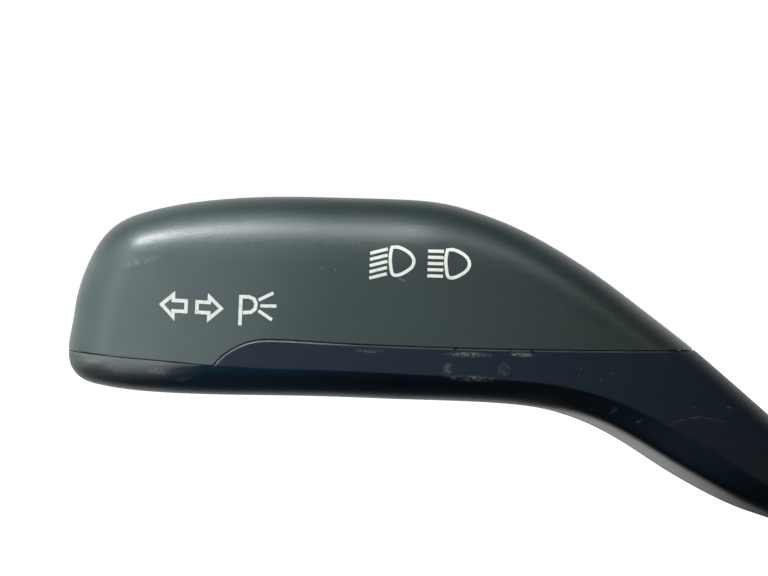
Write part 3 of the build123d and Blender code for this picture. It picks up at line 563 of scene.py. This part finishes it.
def resampled(line, count):
    """Points at even shares of a line's length."""
    length = np.concatenate([[0.0], np.cumsum(np.hypot(*np.diff(line[:, :2], axis=0).T))])
    at = np.linspace(0.0, length[-1], count)
    return np.stack([np.interp(at, length, line[:, k]) for k in range(line.shape[1])], axis=1)


def sideways(line):
    """Unit directions square to a line, to the left of its run."""
    along = np.gradient(line[:, :2], axis=0)
    along /= np.linalg.norm(along, axis=1)[:, None]
    return np.stack([-along[:, 1], along[:, 0]], axis=1)


def between(start, end, shares):
    """Grid of places from one line to another, at shares that may differ from column to column."""
    shares = np.broadcast_to(shares, (len(start), np.shape(shares)[-1]))[:, :, None]
    return start[:, None, :] * (1 - shares) + end[:, None, :] * shares


rounding_rows = np.array([0.0, 0.03, 0.08, 0.16, 0.28])
rounding_share = 0.08


def edge_first(start, end, count, gather):
    """Shares from start to end with a few rows close to the start, for its rounded edge."""
    room = np.linalg.norm(end - start, axis=1)[:, None]
    most = np.arange(len(rounding_rows)) * rounding_share
    near = np.minimum(rounding_rows / np.maximum(room, 0.01), most)
    rest = gather(np.linspace(0, 1, count)[1:])
    return np.concatenate([near, near[:, -1:] + (1 - near[:, -1:]) * rest], axis=1)


def shell_mesh(outer, outer_off, hollow, hollow_off, open_columns):
    """Closed shell: outer and inner skins on both sides of the mid-plane, joined along the parting."""
    verts = []
    starts = []
    for grid, off in ((outer, outer_off), (hollow, hollow_off)):
        for side in (-1, 1):
            starts.append(len(verts))
            flat = zip(grid.reshape(-1, 2), off.reshape(-1))
            verts += [(x / 1000, mid_plane + side * y / 1000, z / 1000) for (x, z), y in flat]
    faces = []
    for k, start in enumerate(starts):
        wide, tall = (outer if k < 2 else hollow).shape[:2]
        for i in range(wide - 1):
            for j in range(tall - 1):
                corner = start + i * tall + j
                faces.append((corner, corner + tall, corner + tall + 1, corner + 1))
    for side in (0, 1):
        out, inn = starts[side], starts[2 + side]
        tall_out, tall_in = outer.shape[1], hollow.shape[1]
        for i in range(open_columns - 1):
            out_next, in_next = out + (i + 1) * tall_out, inn + (i + 1) * tall_in
            faces.append((out + i * tall_out, out_next, in_next, inn + i * tall_in))
    return verts, faces


tongue_half_height = 0.9
tongue_inset = 1.4


def tongue_mesh(line, off, base):
    """Closed strip inside the parting that stops light from passing through it."""
    lift = sideways(line) * tongue_half_height
    verts = []
    for (x, z), (dx, dz), y in zip(line, lift, off):
        ring = ((dx, dz, 1), (-dx, -dz, 1), (-dx, -dz, -1), (dx, dz, -1))
        verts += [((x + a) / 1000, mid_plane + y * side / 1000, (z + c) / 1000) for a, c, side in ring]
    faces = []
    for i in range(len(line) - 1):
        for k in range(4):
            first, second = base + 4 * i + k, base + 4 * i + (k + 1) % 4
            faces.append((first, second, second + 4, first + 4))
    last = base + 4 * (len(line) - 1)
    faces += [tuple(base + k for k in range(4)), tuple(last + k for k in range(4))]
    return verts, faces


weld_distance = 0.000002
sharp_angle = 38


def finished(name, verts, faces):
    """Object of a mesh, with its doubles merged, its faces outward and smooth up to its edges."""
    mesh = bpy.data.meshes.new(name)
    mesh.from_pydata(verts, [], faces)
    work = bmesh.new()
    work.from_mesh(mesh)
    bmesh.ops.remove_doubles(work, verts=work.verts, dist=weld_distance)
    bmesh.ops.dissolve_degenerate(work, dist=weld_distance / 4, edges=work.edges)
    bmesh.ops.recalc_face_normals(work, faces=work.faces)
    work.to_mesh(mesh)
    work.free()
    for face in mesh.polygons:
        face.use_smooth = True
    mesh.set_sharp_from_angle(angle=math.radians(sharp_angle))
    piece = bpy.data.objects.new(name, mesh)
    bpy.context.scene.collection.objects.link(piece)
    return piece


def edge_drop(grid, line, bevel):
    """How far a shell's rounded and rubbed edge falls below its face near the parting line."""
    sized = np.append(line, np.interp(line[:, 0], *zip(*bevel))[:, None], axis=1)
    gap, (rubbed,) = from_line(grid.reshape(-1, 2), sized)
    into = np.clip(edge_round - gap, 0, edge_round)
    return edge_round - np.sqrt(edge_round**2 - into**2) + bevel_slope * np.clip(rubbed - gap, 0, None)


cavity_span = (0.05, 0.94)
cavity_taper = 0.08
cavity_rows = 12
shell_wall = 1.9


def cavity(line, far, wide):
    """Hollow of a shell, from its opening along the parting to its far wall, and its half widths."""
    first, last = (int(share * len(line)) for share in cavity_span)
    edge = resampled(line[first:last], wide)
    wall_at = np.stack([edge[:, 0], np.interp(edge[:, 0], far[:, 0], far[:, 1])], axis=1)
    share = np.linspace(0, 1, wide)
    swell = np.sqrt(np.clip(np.minimum(share, 1 - share) / cavity_taper, 0, 1))[:, None]
    across = np.linspace(0, 1, cavity_rows) ** 0.7
    half_width = (half_depth - shell_wall) * swell * np.sqrt(1 - across[None, :] ** 6)
    return between(edge, edge + (wall_at - edge) * swell, across), half_width


edge_round = 0.12
bevel_slope = 0.5
upper_bevel = [(-188.0, 0.05), (-100.0, 0.05)]
lower_bevel = [
    (-188.0, 0.0),
    (-168.0, 0.02),
    (-167.0, 0.23),
    (-152.0, 0.21),
    (-147.0, 0.12),
    (-99.0, 0.08),
]
tip_side = smooth_run(parting_tip_side, 120)
step_side = smooth_run(parting_step_side, 420)
parting = np.concatenate([tip_side, step_side[1:]])
meeting = np.argmin(np.hypot(top_line[:, 0] - parting[-1, 0], top_line[:, 1] - parting[-1, 1]))
parting[-1] = top_line[meeting, :2]
corner_index = len(tip_side) - 1
tip_columns = 60


def through_corner(line, count):
    """Points at even shares of the tip's run and of the stepped run, with one on the sharp corner."""
    tip_run = resampled(line[: corner_index + 1], tip_columns)
    return np.concatenate([tip_run, resampled(line[corner_index:], count - tip_columns + 1)[1:]])


def parting_moved(up):
    """The parting line moved square to itself, with its two ends left on the outline."""
    from_start = np.arange(len(parting))
    hold = np.clip(np.minimum(from_start, from_start[::-1]) / 5, 0, 1)[:, None]
    return parting + sideways(parting) * up * hold


upper_columns = 240
upper_rows = 42
row_crowding = 1.8
top_wall_depth = 2.2
upper_edge = parting_moved(parting_gap / 2)
upper_low = through_corner(upper_edge, upper_columns)
upper_top = resampled(top_line[: meeting + 1, :2], upper_columns)
upper_shares = edge_first(upper_low, upper_top, upper_rows, lambda t: 1 - (1 - t) ** row_crowding)
upper_grid = between(upper_low, upper_top, upper_shares)
upper_off = rise(upper_grid.reshape(-1, 2), False) - edge_drop(upper_grid, upper_edge, upper_bevel)
upper_off = np.maximum(upper_off, 0.0).reshape(upper_grid.shape[:2])
top_wall = top_line[:, :2] - sideways(top_line) * top_wall_depth
hollow, hollow_off = cavity(upper_edge, top_wall, upper_columns)
verts, faces = shell_mesh(upper_grid, upper_off, hollow, hollow_off, upper_columns)
strip = resampled(parting, 120)[3:-3]
strip_off = np.maximum(rise(strip, False) - tongue_inset, 0.05)
tongue, tongue_faces = tongue_mesh(strip, strip_off, len(verts))
upper = finished("handle_top", verts + tongue, faces + tongue_faces)

lower_columns = 300
face_rows = 18
edge_rows = 30
crease_limit = 0.97
lower_edge = parting_moved(-parting_gap / 2)
lower_start = np.concatenate([lower_edge, top_line[meeting + 1 :, :2]])
lower_high = through_corner(lower_start, lower_columns)
lower_low = resampled(bottom_line, lower_columns)
crease = lower_low[:, :2] + sideways(lower_low) * lower_low[:, 2:3]
span_up = lower_high - lower_low[:, :2]
room = np.linalg.norm(span_up, axis=1)[:, None]
too_high = lower_low[:, 2:3] > room * crease_limit
crease = np.where(too_high, lower_low[:, :2] + span_up * crease_limit, crease)
face_shares = edge_first(lower_high, crease, face_rows, lambda t: (1 - np.cos(math.pi * t)) / 2)
edge_shares = 1 - np.linspace(1, 0, edge_rows)[1:] ** row_crowding
face_grid = between(lower_high, crease, face_shares)
edge_grid = between(crease, lower_low[:, :2], edge_shares)
lower_grid = np.concatenate([face_grid, edge_grid], axis=1)
lower_off = rise(lower_grid.reshape(-1, 2), True) - edge_drop(lower_grid, lower_edge, lower_bevel)
lower_off = np.maximum(lower_off, 0.0).reshape(lower_grid.shape[:2])
open_columns = int(np.argmin(np.hypot(*(lower_high - parting[-1]).T))) + 1
bottom_wall = bottom_line[:, :2] + sideways(bottom_line) * shell_wall
hollow, hollow_off = cavity(lower_edge, bottom_wall, open_columns)
lower = finished("handle_base", *shell_mesh(lower_grid, lower_off, hollow, hollow_off, open_columns))


def marked(piece, name, amount):
    """Stores a number for each point of a shell, worked out from its X, Z and height off the middle."""
    places = np.array([(v.co.x * 1000, v.co.z * 1000) for v in piece.data.vertices])
    height = np.array([abs(v.co.y - mid_plane) * 1000 for v in piece.data.vertices])
    values = piece.data.attributes.new(name, "FLOAT", "POINT")
    values.data.foreach_set("value", amount(places, height))


outside_band = 1.2
edge_mark_core = 1.6
edge_mark_fade = 0.16


def edge_rub_and_highlight(line, strengths):
    """Pale mark along a line of the shell's outside, as strong as the (X, strength) pairs say: wear on the
    upper shell, a painted highlight along the lower shell's step.
    """
    sized = np.append(line[:, :2], np.interp(line[:, 0], *zip(*strengths))[:, None], axis=1)

    def amount(places, height):
        gap, (strength,) = from_line(places, sized)
        return strength * (height > half_depth - outside_band) * np.clip(edge_mark_core - gap / edge_mark_fade, 0, 1)

    return amount


facet_polish = [(-114.0, 1.0), (-104.0, 0.95), (-97.0, 0.7), (-91.0, 0.2)]
polish_fade = 0.8


def polished_facet(places, height):
    """Polish on the narrow facet under the neck."""
    gap, (_, facet) = from_line(places, bottom_line)
    fade = np.interp(places[:, 0], *zip(*facet_polish))
    on_facet = np.clip((facet * 1.1 - gap) / polish_fade, 0, 1)
    return fade * on_facet * np.clip(facet / polish_fade, 0, 1)


shade_start_x = -176.5
shade_run = 8
lowest_z = 20.9
lowest_fade = 1.4


def underside_shade(places, height):
    """Painted shade on the handle's bottom: all below the crease, and only the lowest part at the paddle's
    end.
    """
    gap, (crease, _) = from_line(places, bottom_line)
    inward = np.clip((places[:, 0] - shade_start_x) / shade_run, 0, 1)
    lowest = np.clip(0.5 + (lowest_z - places[:, 1]) / lowest_fade, 0, 1)
    below_crease = np.clip(0.5 + (crease + 0.1 - gap) / 0.2, 0, 1)
    return lowest * (1 - inward) + below_crease * inward


top_shade_strength = 0.6
top_shade_reach = 3.0
top_shade_from_z = 37.0


def top_edge_shade(places, height):
    """Painted shade along the top of the paddle: darker colour near its top edge."""
    gap, _ = from_line(places, top_line)
    near_edge = np.clip((top_shade_reach - gap) / 1.5, 0, 1)
    return top_shade_strength * near_edge * np.clip((places[:, 1] - top_shade_from_z) / 4, 0, 1)


upper_edge_rub = [(-188.0, 0.05), (-100.0, 0.05)]
# Painted highlight along the lower shell's step edge, strongest on the S-bend, over its real bevel.
lower_edge_rub_and_highlight = [
    (-188.0, 0.0),
    (-167.4, 0.0),
    (-166.9, 0.4),
    (-156.0, 0.42),
    (-148.0, 0.14),
    (-120.0, 0.1),
    (-99.0, 0.05),
]
marked(upper, "rub", edge_rub_and_highlight(upper_edge, upper_edge_rub))
marked(lower, "rub", edge_rub_and_highlight(lower_edge, lower_edge_rub_and_highlight))
marked(upper, "under", top_edge_shade)
marked(lower, "polish", polished_facet)
marked(lower, "under", underside_shade)

# Wear marks, painted highlights, nicks and scratches on the driver's side: X and Z in mm, length, width,
# turn in degrees, strength
upper_rubs_and_highlights = fitted([
    # Painted highlight: two soft pale patches below the top highlight at the paddle's end.
    (-177.5, 37.6, 7.0, 1.3, -14, 0.22),
    (-175.5, 39.6, 6.0, 0.8, -12, 0.14),
    (-183.0, 39.1, 0.4, 0.35, 0, 0.9),
    (-183.3, 36.4, 0.35, 0.3, 0, 0.8),
    (-180.1, 31.9, 0.25, 0.25, 0, 0.6),
    (-151.8, 36.7, 0.5, 0.25, 20, 0.5),
    (-149.9, 36.4, 0.3, 0.25, 0, 0.5),
    (-140.4, 35.0, 1.6, 0.4, 22, 0.35),
    (-172.5, 42.6, 2.0, 0.3, -8, 0.25),
    (-167.5, 44.7, 0.9, 0.2, 10, 0.3),
    (-162.0, 43.4, 3.0, 0.3, -3, 0.2),
    (-154.6, 45.5, 1.1, 0.2, -12, 0.3),
])
lower_rubs_and_highlights = fitted([
    # Painted highlight: pale patch near the paddle's end of the lower shell.
    (-174.9, 22.0, 4.0, 1.4, 6, 0.45),
    (-171.5, 20.9, 3.0, 1.0, -10, 0.25),
    (-181.0, 22.4, 5.0, 2.2, 14, 0.22),
    (-171.0, 19.8, 1.8, 0.5, -25, 0.2),
    (-175.6, 19.6, 1.4, 0.5, 25, 0.2),
    (-131.0, 24.4, 7.5, 0.9, 2, 0.30),
    (-123.5, 24.4, 4.5, 0.7, 3, 0.30),
    (-130.6, 21.0, 8.0, 1.1, 3, 0.22),
    (-134.0, 22.4, 1.6, 2.4, 0, 0.14),
    (-126.0, 22.3, 2.0, 2.6, 20, 0.10),
    (-145.0, 24.9, 5.0, 0.6, 2, 0.14),
    (-113.6, 16.6, 0.9, 0.25, -60, 0.30),
    (-110.5, 16.4, 1.8, 0.8, -35, 0.16),
    (-106.9, 14.9, 1.2, 0.7, -30, 0.10),
])
parting_nicks = fitted([
    (-132.8, 25.2, 0.7, 0.5, -20, 1.0),
    (-121.9, 24.8, 1.3, 0.35, 38, 1.0),
    (-125.2, 25.0, 0.35, 0.3, 0, 0.7),
])
scratches = fitted([
    (-101.0, 15.05, 2.9, 0.16, -14, 0.30),
    (-98.9, 15.5, 2.2, 0.18, -6, 0.42),
    (-97.0, 15.35, 2.2, 0.16, 14, 0.32),
    (-95.2, 14.95, 2.4, 0.13, 9, 0.22),
    (-94.0, 16.9, 1.1, 0.35, 12, 0.30),
    (-140.3, 34.9, 1.2, 0.2, 15, 0.30),
])


mark_depth = 0.003
mark_edge = 0.7
mark_softness = 0.35


def rubbed(place, marks):
    """How far each point lies inside one of a list of marks, from 0 to its strength."""
    total = 0.0
    for x, z, length, width, turn, strength in marks:
        local = place.node(
            "ShaderNodeMapping",
            {"vector_type": "TEXTURE"},
            {
                "Vector": place,
                "Location": (x / 1000, mid_plane - half_depth / 1000, z / 1000),
                "Rotation": (0.0, math.radians(turn), 0.0),
                "Scale": (length / 2000, mark_depth, width / 2000),
            },
        )
        reach = place.node("ShaderNodeVectorMath", {"operation": "LENGTH"}, {0: local}, output="Value")
        total = (1.0 - reach.above(mark_edge, mark_softness)) * strength + total
    return total


def toned(place, along, tones):
    """Colour that changes along X, through a list of places and colours."""
    tone = tones[0][1]
    for (start, _), (end, colour) in zip(tones, tones[1:]):
        reach = {"Value": along, "From Min": start, "From Max": end}
        tone = mixed(place.node("ShaderNodeMapRange", {}, reach), tone, colour)
    return tone


mottle_colour = (0.045, 0.050, 0.055)
# Pale colour of wear and dust, also used for painted highlights.
dust_and_highlight_colour = (0.46, 0.46, 0.43)
scratch_colour = (0.20, 0.12, 0.075)
nick_colour = (0.004, 0.004, 0.005)
polish_roughness = 0.22


def satin(name, tones, under, rough, gloss, marks):
    """Satin plastic: paler towards the paddle's end as painted sheen, darker along the top edge and
    underneath as painted shade, with handling marks and painted highlights.
    """
    material, shader, place = new_finish(name)
    along = place.node("ShaderNodeSeparateXYZ", {}, {0: place})
    shade_mask = place.node("ShaderNodeAttribute", {"attribute_name": "under"}, output="Fac")
    cloud = place.noise(0.012, detail=3.0)
    flow = place.noise(0.004, detail=2.0, stretch=(0.3, 1.0, 1.0))
    grain = place.noise(0.00022, detail=2.0, roughness=0.6)
    streaks = place.noise(0.0007, detail=2.0, stretch=(0.12, 1.0, 1.0))
    specks = place.noise(0.0004, detail=1.0).above(0.84, 0.02)
    speckle = flow * 0.05 + grain.above(0.55, 0.15) * 0.03
    mottled = mixed(speckle, toned(place, along + (cloud - 0.5) * 0.012, tones), mottle_colour)
    # Painted shade: where the under attribute is set, the colour goes to the shade tones.
    shaded = mixed(shade_mask, mottled, toned(place, along, under))
    patchy = place.noise(0.0004, detail=4.0, roughness=0.8).above(0.52, 0.10)
    edge = place.node("ShaderNodeAttribute", {"attribute_name": "rub"}, output="Fac")
    # Pale marks: real wear, specks and dust, and painted highlights at the paddle's end and along the lower
    # shell's step edge.
    rubs_and_highlights = rubbed(place, marks) * patchy + edge * (patchy * 0.4 + 0.6) + specks * 0.4
    worn = mixed(rubs_and_highlights, shaded, dust_and_highlight_colour)
    scratched = mixed(rubbed(place, scratches) * (patchy * 0.6 + 0.4), worn, scratch_colour)
    nicked = rubbed(place, parting_nicks)
    polish = place.node("ShaderNodeAttribute", {"attribute_name": "polish"}, output="Fac")
    fill(
        shader,
        place,
        Base_Color=mixed(nicked, scratched, nick_colour),
        Roughness=rough + (cloud - 0.5) * 0.08 + (streaks - 0.5) * 0.10 + patchy * 0.07,
        Normal=bumped(grain * 1.1 + flow * 1.2 + streaks * 0.15 - nicked * 8.0, 0.000018),
        IOR=1.5,
        Specular_IOR_Level=gloss,
        Coat_Weight=polish * (0.65 + cloud * 0.5),
        Coat_Roughness=polish_roughness,
    )
    return material


# Base colours along X. The charcoal and navy are the plastic's own; their paler values towards the paddle's
# end are painted sheen.
upper_colour_and_sheen = [
    (-0.186, (0.115, 0.160, 0.152)),
    (-0.172, (0.074, 0.106, 0.107)),
    (-0.152, (0.025, 0.046, 0.048)),
    (-0.127, (0.014, 0.029, 0.029)),
    (-0.113, (0.008, 0.0165, 0.0165)),
    (-0.098, (0.0045, 0.011, 0.010)),
]
lower_colour_and_sheen = [
    (-0.184, (0.150, 0.185, 0.180)),
    (-0.1745, (0.130, 0.150, 0.165)),
    (-0.166, (0.015, 0.024, 0.039)),
    (-0.125, (0.0065, 0.0145, 0.025)),
    (-0.098, (0.003, 0.0075, 0.012)),
    (-0.085, (0.001, 0.004, 0.006)),
]
# Painted shade colours for the top edge of the upper shell.
top_shade_tones = [
    (-0.184, (0.022, 0.036, 0.036)),
    (-0.150, (0.010, 0.018, 0.018)),
    (-0.120, (0.005, 0.010, 0.010)),
]
# Painted shade colours for the bottom of the lower shell.
underside_shade_tones = [
    (-0.174, (0.009, 0.032, 0.052)),
    (-0.142, (0.001, 0.006, 0.015)),
    (-0.110, (0.001, 0.005, 0.009)),
]
charcoal = satin("satin_charcoal", upper_colour_and_sheen, top_shade_tones, 0.32, 0.50, upper_rubs_and_highlights)
navy = satin("satin_navy", lower_colour_and_sheen, underside_shade_tones, 0.36, 0.13, lower_rubs_and_highlights)
upper.data.materials.append(charcoal)
lower.data.materials.append(navy)
for piece, node in ((upper, "handle_upper_shell"), (lower, "handle_lower_shell")):
    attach(piece, "lever")
    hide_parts(node)

# Symbols. Pad-printed in off-white ink on the driver's side of the handle: turn arrows, parking
# lamp, dipped beam and main beam. Their points are pixels of the camera's picture, Y downward.

ink_width = 0.5
thin_width = 0.46
mitre_limit = 0.35
ink_lift = 0.02
ink_colour = (0.71, 0.75, 0.70)
thin_ink_colour = (0.30, 0.32, 0.30)
pixels_per_mm = 7.128
picture_middle = (384, 288)
face_middle = (-143.31, 33.49)


def stroke(points, width, closed=False):
    """Flat ribbon along a line of (x, z) points, mitred at its corners."""
    line = np.array(points, dtype=float)
    count = len(line)
    sides = []
    for i in range(count):
        before = line[i] - line[i - 1] if closed or i else line[1] - line[0]
        after = line[(i + 1) % count] - line[i] if closed or i < count - 1 else before
        before /= np.linalg.norm(before)
        after /= np.linalg.norm(after)
        normals = [np.array((-d[1], d[0])) for d in (before, after)]
        mitre = normals[0] + normals[1]
        reach = np.linalg.norm(mitre)
        mitre /= max(mitre_limit, reach) * max(mitre_limit, np.dot(mitre / reach, normals[0]))
        sides.append((line[i] + mitre * width / 2, line[i] - mitre * width / 2))
    quads = []
    for i in range(count if closed else count - 1):
        a, b = sides[i], sides[(i + 1) % count]
        quads.append((a[0], b[0], b[1], a[1]))
    return quads


def on_face(x, y):
    """X and Z on the handle's face, in millimetres, of a pixel in the camera's picture."""
    across, down = (x - picture_middle[0]) / pixels_per_mm, (y - picture_middle[1]) / pixels_per_mm
    return (face_middle[0] + across, face_middle[1] - down)


left_arrow = [
    (161.6, 304.2),
    (173.4, 294.6),
    (173.4, 300.3),
    (186.2, 301.0),
    (185.8, 311.6),
    (173.0, 310.8),
    (172.8, 316.6),
]
right_arrow = [
    (221.2, 308.6),
    (209.6, 297.0),
    (209.2, 302.5),
    (197.2, 301.8),
    (196.8, 312.2),
    (208.8, 312.8),
    (208.8, 318.8),
]
quads = stroke([on_face(*p) for p in left_arrow], ink_width, closed=True)
quads += stroke([on_face(*p) for p in right_arrow], ink_width, closed=True)
bowl = [
    (239.8, 325.4),
    (241.0, 296.6),
    (249.4, 296.9),
    (253.9, 298.9),
    (256.0, 303.4),
    (255.1, 308.8),
    (251.0, 312.2),
    (242.6, 312.6),
]
quads += stroke([on_face(*p) for p in bowl], ink_width)
rays = [
    [(258.4, 300.2), (273.4, 293.0)],
    [(260.4, 305.8), (276.4, 306.2)],
    [(258.4, 310.6), (271.8, 319.8)],
]
for ray in rays:
    quads += stroke([on_face(*p) for p in ray], thin_width)
lamp = [
    (392.0, 247.4),
    (396.5, 247.0),
    (404.0, 249.4),
    (410.5, 254.0),
    (413.8, 260.2),
    (412.4, 266.2),
    (406.0, 271.6),
    (398.5, 275.0),
    (393.4, 274.8),
    (391.0, 268.0),
    (390.2, 260.5),
    (390.8, 252.5),
]
lamp_shifts = ((0.0, 0.0), (55.6, 2.6))
for shift_x, shift_y in lamp_shifts:
    ring = smooth_run([on_face(x + shift_x, y + shift_y) for x, y in lamp + lamp[:1]], 60)[:-1]
    quads += stroke(ring, thin_width, closed=True)

verts = []
faces = []
for quad in quads:
    base = len(verts)
    verts += list(quad)
    faces.append(tuple(range(base, base + 4)))
off = rise(np.array(verts), False) + ink_lift
mesh = bpy.data.meshes.new("symbols")
mesh.from_pydata([(x / 1000, mid_plane - y / 1000, z / 1000) for (x, z), y in zip(verts, off)], [], faces)
symbols = bpy.data.objects.new("printed_symbols", mesh)
bpy.context.scene.collection.objects.link(symbols)
material, shader, place = new_finish("white_ink")
thin = place.noise(0.0004, detail=3.0).above(0.62, 0.12)
fill(
    shader,
    place,
    Base_Color=mixed(thin * 0.4, ink_colour, thin_ink_colour),
    Roughness=0.55 + thin * 0.15,
    Normal=bumped(place.noise(0.00022), 0.000006),
)
mesh.materials.append(material)
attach(symbols, "lever")

bar_lean = -0.04
bar_sizes = {"Bars": 5, "Pitch": 0.87, "Length": 2.4, "Width": 0.44, "Slope": 0.0, "Material": material}
bar_rows = (
    ("dipped_beam_bars", on_face(379.0, 251.1), 2.55, 14.0),
    ("main_beam_bars", on_face(436.1, 251.2), 2.2, -1.5),
)
for name, (x, z), length, slope in bar_rows:
    bar_sizes["Length"] = length
    bar_sizes["Slope"] = math.radians(slope)
    tree, size = new_tree(name, bar_sizes)
    step = size["Pitch"].node(
        "ShaderNodeCombineXYZ",
        {},
        {"X": size["Pitch"] * bar_lean, "Y": size["Pitch"] * -1.0},
    )
    row = step.node("GeometryNodeMeshLine", {}, {"Count": size["Bars"], "Offset": step})
    bar = step.node(
        "GeometryNodeMeshGrid",
        {},
        {"Size X": size["Length"], "Size Y": size["Width"], "Vertices X": 8, "Vertices Y": 3},
    )
    lean = step.node("ShaderNodeCombineXYZ", {}, {"Z": size["Slope"]})
    laid = row.node("GeometryNodeInstanceOnPoints", {}, {"Points": row, "Instance": bar, "Rotation": lean})
    bars = grown(name, [(0, 0, 0)], tree, laid, bar_sizes)
    flat = np.array([(v.co.x + x, v.co.y + z) for v in bars.data.vertices])
    for vertex, place_at, height in zip(bars.data.vertices, flat, rise(flat, False) + ink_lift):
        vertex.co = (place_at[0] / 1000, mid_plane - height / 1000, place_at[1] / 1000)
    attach(bars, "lever")

# Floor, room and lamps. Paper floor that looks white to the camera, white room behind, and three soft
# lamps on the driver's side: a key lamp above, a weak fill lamp above, and a side lamp low to the left.

room_light = 0.12
floor_colour = (0.12, 0.12, 0.12, 1.0)
near_glow = 0.83
far_glow = 0.16
floor_gap = 0.0004
low, high = (Vector(c) for c in cad_box)
centre = (low + high) / 2
floor_reach = 8.0


def seen_by(start):
    """1 on rays of the camera or through glass, and 1 on rays that a shine throws back."""
    camera_ray = start.node("ShaderNodeLightPath", output="Is Camera Ray")
    clear_ray = start.node("ShaderNodeLightPath", output="Is Transmission Ray")
    return camera_ray + clear_ray, start.node("ShaderNodeLightPath", output="Is Glossy Ray")


floor_mesh = bpy.data.meshes.new("floor")
corners = [(-1, -1), (1, -1), (1, 1), (-1, 1)]
floor_mesh.from_pydata(
    [(centre[0] + x * floor_reach, centre[1] + y * floor_reach, low[2] - floor_gap) for x, y in corners],
    [],
    [(0, 1, 2, 3)],
)
floor = bpy.data.objects.new("floor", floor_mesh)
bpy.context.scene.collection.objects.link(floor)
material, shader, place = new_finish("white_paper")
clear, shine = seen_by(place)
from_object = place.node(
    "ShaderNodeVectorMath",
    {"operation": "DISTANCE"},
    {0: place, 1: (*centre[:2], low[2])},
    output="Value",
)
far = from_object.above(0.75, 0.3)
behind = place.node("ShaderNodeSeparateXYZ", {}, {0: place}, output=1).above(0.062, 0.02)
glow = clear * (near_glow + far * far_glow) + shine * behind
white = place.node("ShaderNodeVectorMath", {"operation": "SCALE"}, {0: (1.0, 1.0, 1.0), "Scale": glow})
fill(shader, place, Base_Color=floor_colour, Roughness=0.8, Emission_Color=white, Emission_Strength=1.0)
floor_mesh.materials.append(material)

world = bpy.data.worlds.new("studio")
bpy.context.scene.world = world
world.use_nodes = True
room = Wire(world.node_tree)
clear, shine = seen_by(room)
heading = room.node("ShaderNodeTexCoord", output=0)
away = room.node("ShaderNodeSeparateXYZ", {}, {0: heading}, output=1).above(0.35, 0.45)
backdrop = world.node_tree.nodes["Background"]
backdrop.inputs["Color"].default_value = (1.0, 1.0, 1.0, 1.0)
strength = clear + (1.0 - clear) * (room_light + shine * away * (1.0 - room_light))
world.node_tree.links.new(strength.socket, backdrop.inputs["Strength"])


def lamp_at(name, place, aim, size, power):
    """Soft rectangular lamp that faces a point."""
    light = bpy.data.lights.new(name, "AREA")
    light.shape = "RECTANGLE"
    light.size, light.size_y = size
    light.energy = power
    lamp = bpy.data.objects.new(name, light)
    lamp.location = place
    lamp.rotation_euler = (Vector(aim) - Vector(place)).to_track_quat("-Z", "Y").to_euler()
    bpy.context.scene.collection.objects.link(lamp)


paddle = (-0.165, -0.016, 0.036)
neck_slope = (-0.125, -0.02, 0.04)
lamp_at("key", (-0.252, -0.262, 0.312), paddle, (0.11, 0.045), 1.75)
lamp_at("fill", (-0.04, -0.27, 0.33), neck_slope, (0.20, 0.12), 0.22)
lamp_at("side", (-0.31, -0.44, 0.05), paddle, (0.40, 0.30), 0.44)

camera_data = bpy.data.cameras.new("camera")
camera = bpy.data.objects.new("camera", camera_data)
bpy.context.scene.collection.objects.link(camera)
bpy.context.scene.camera = camera
distance = 0.9
aim_y = -0.0228
aim_to_middle = 0.0063
view_width = 0.1085
camera.location = (face_middle[0] / 1000, aim_y - distance, face_middle[1] / 1000)
camera.rotation_euler = (math.radians(90), 0, 0)
camera_data.sensor_width = 36.0
camera_data.lens = camera_data.sensor_width * (distance + aim_to_middle) / view_width
camera_data.clip_start = 0.01
camera_data.dof.use_dof = False

bpy.context.scene.view_settings.view_transform = "Standard"
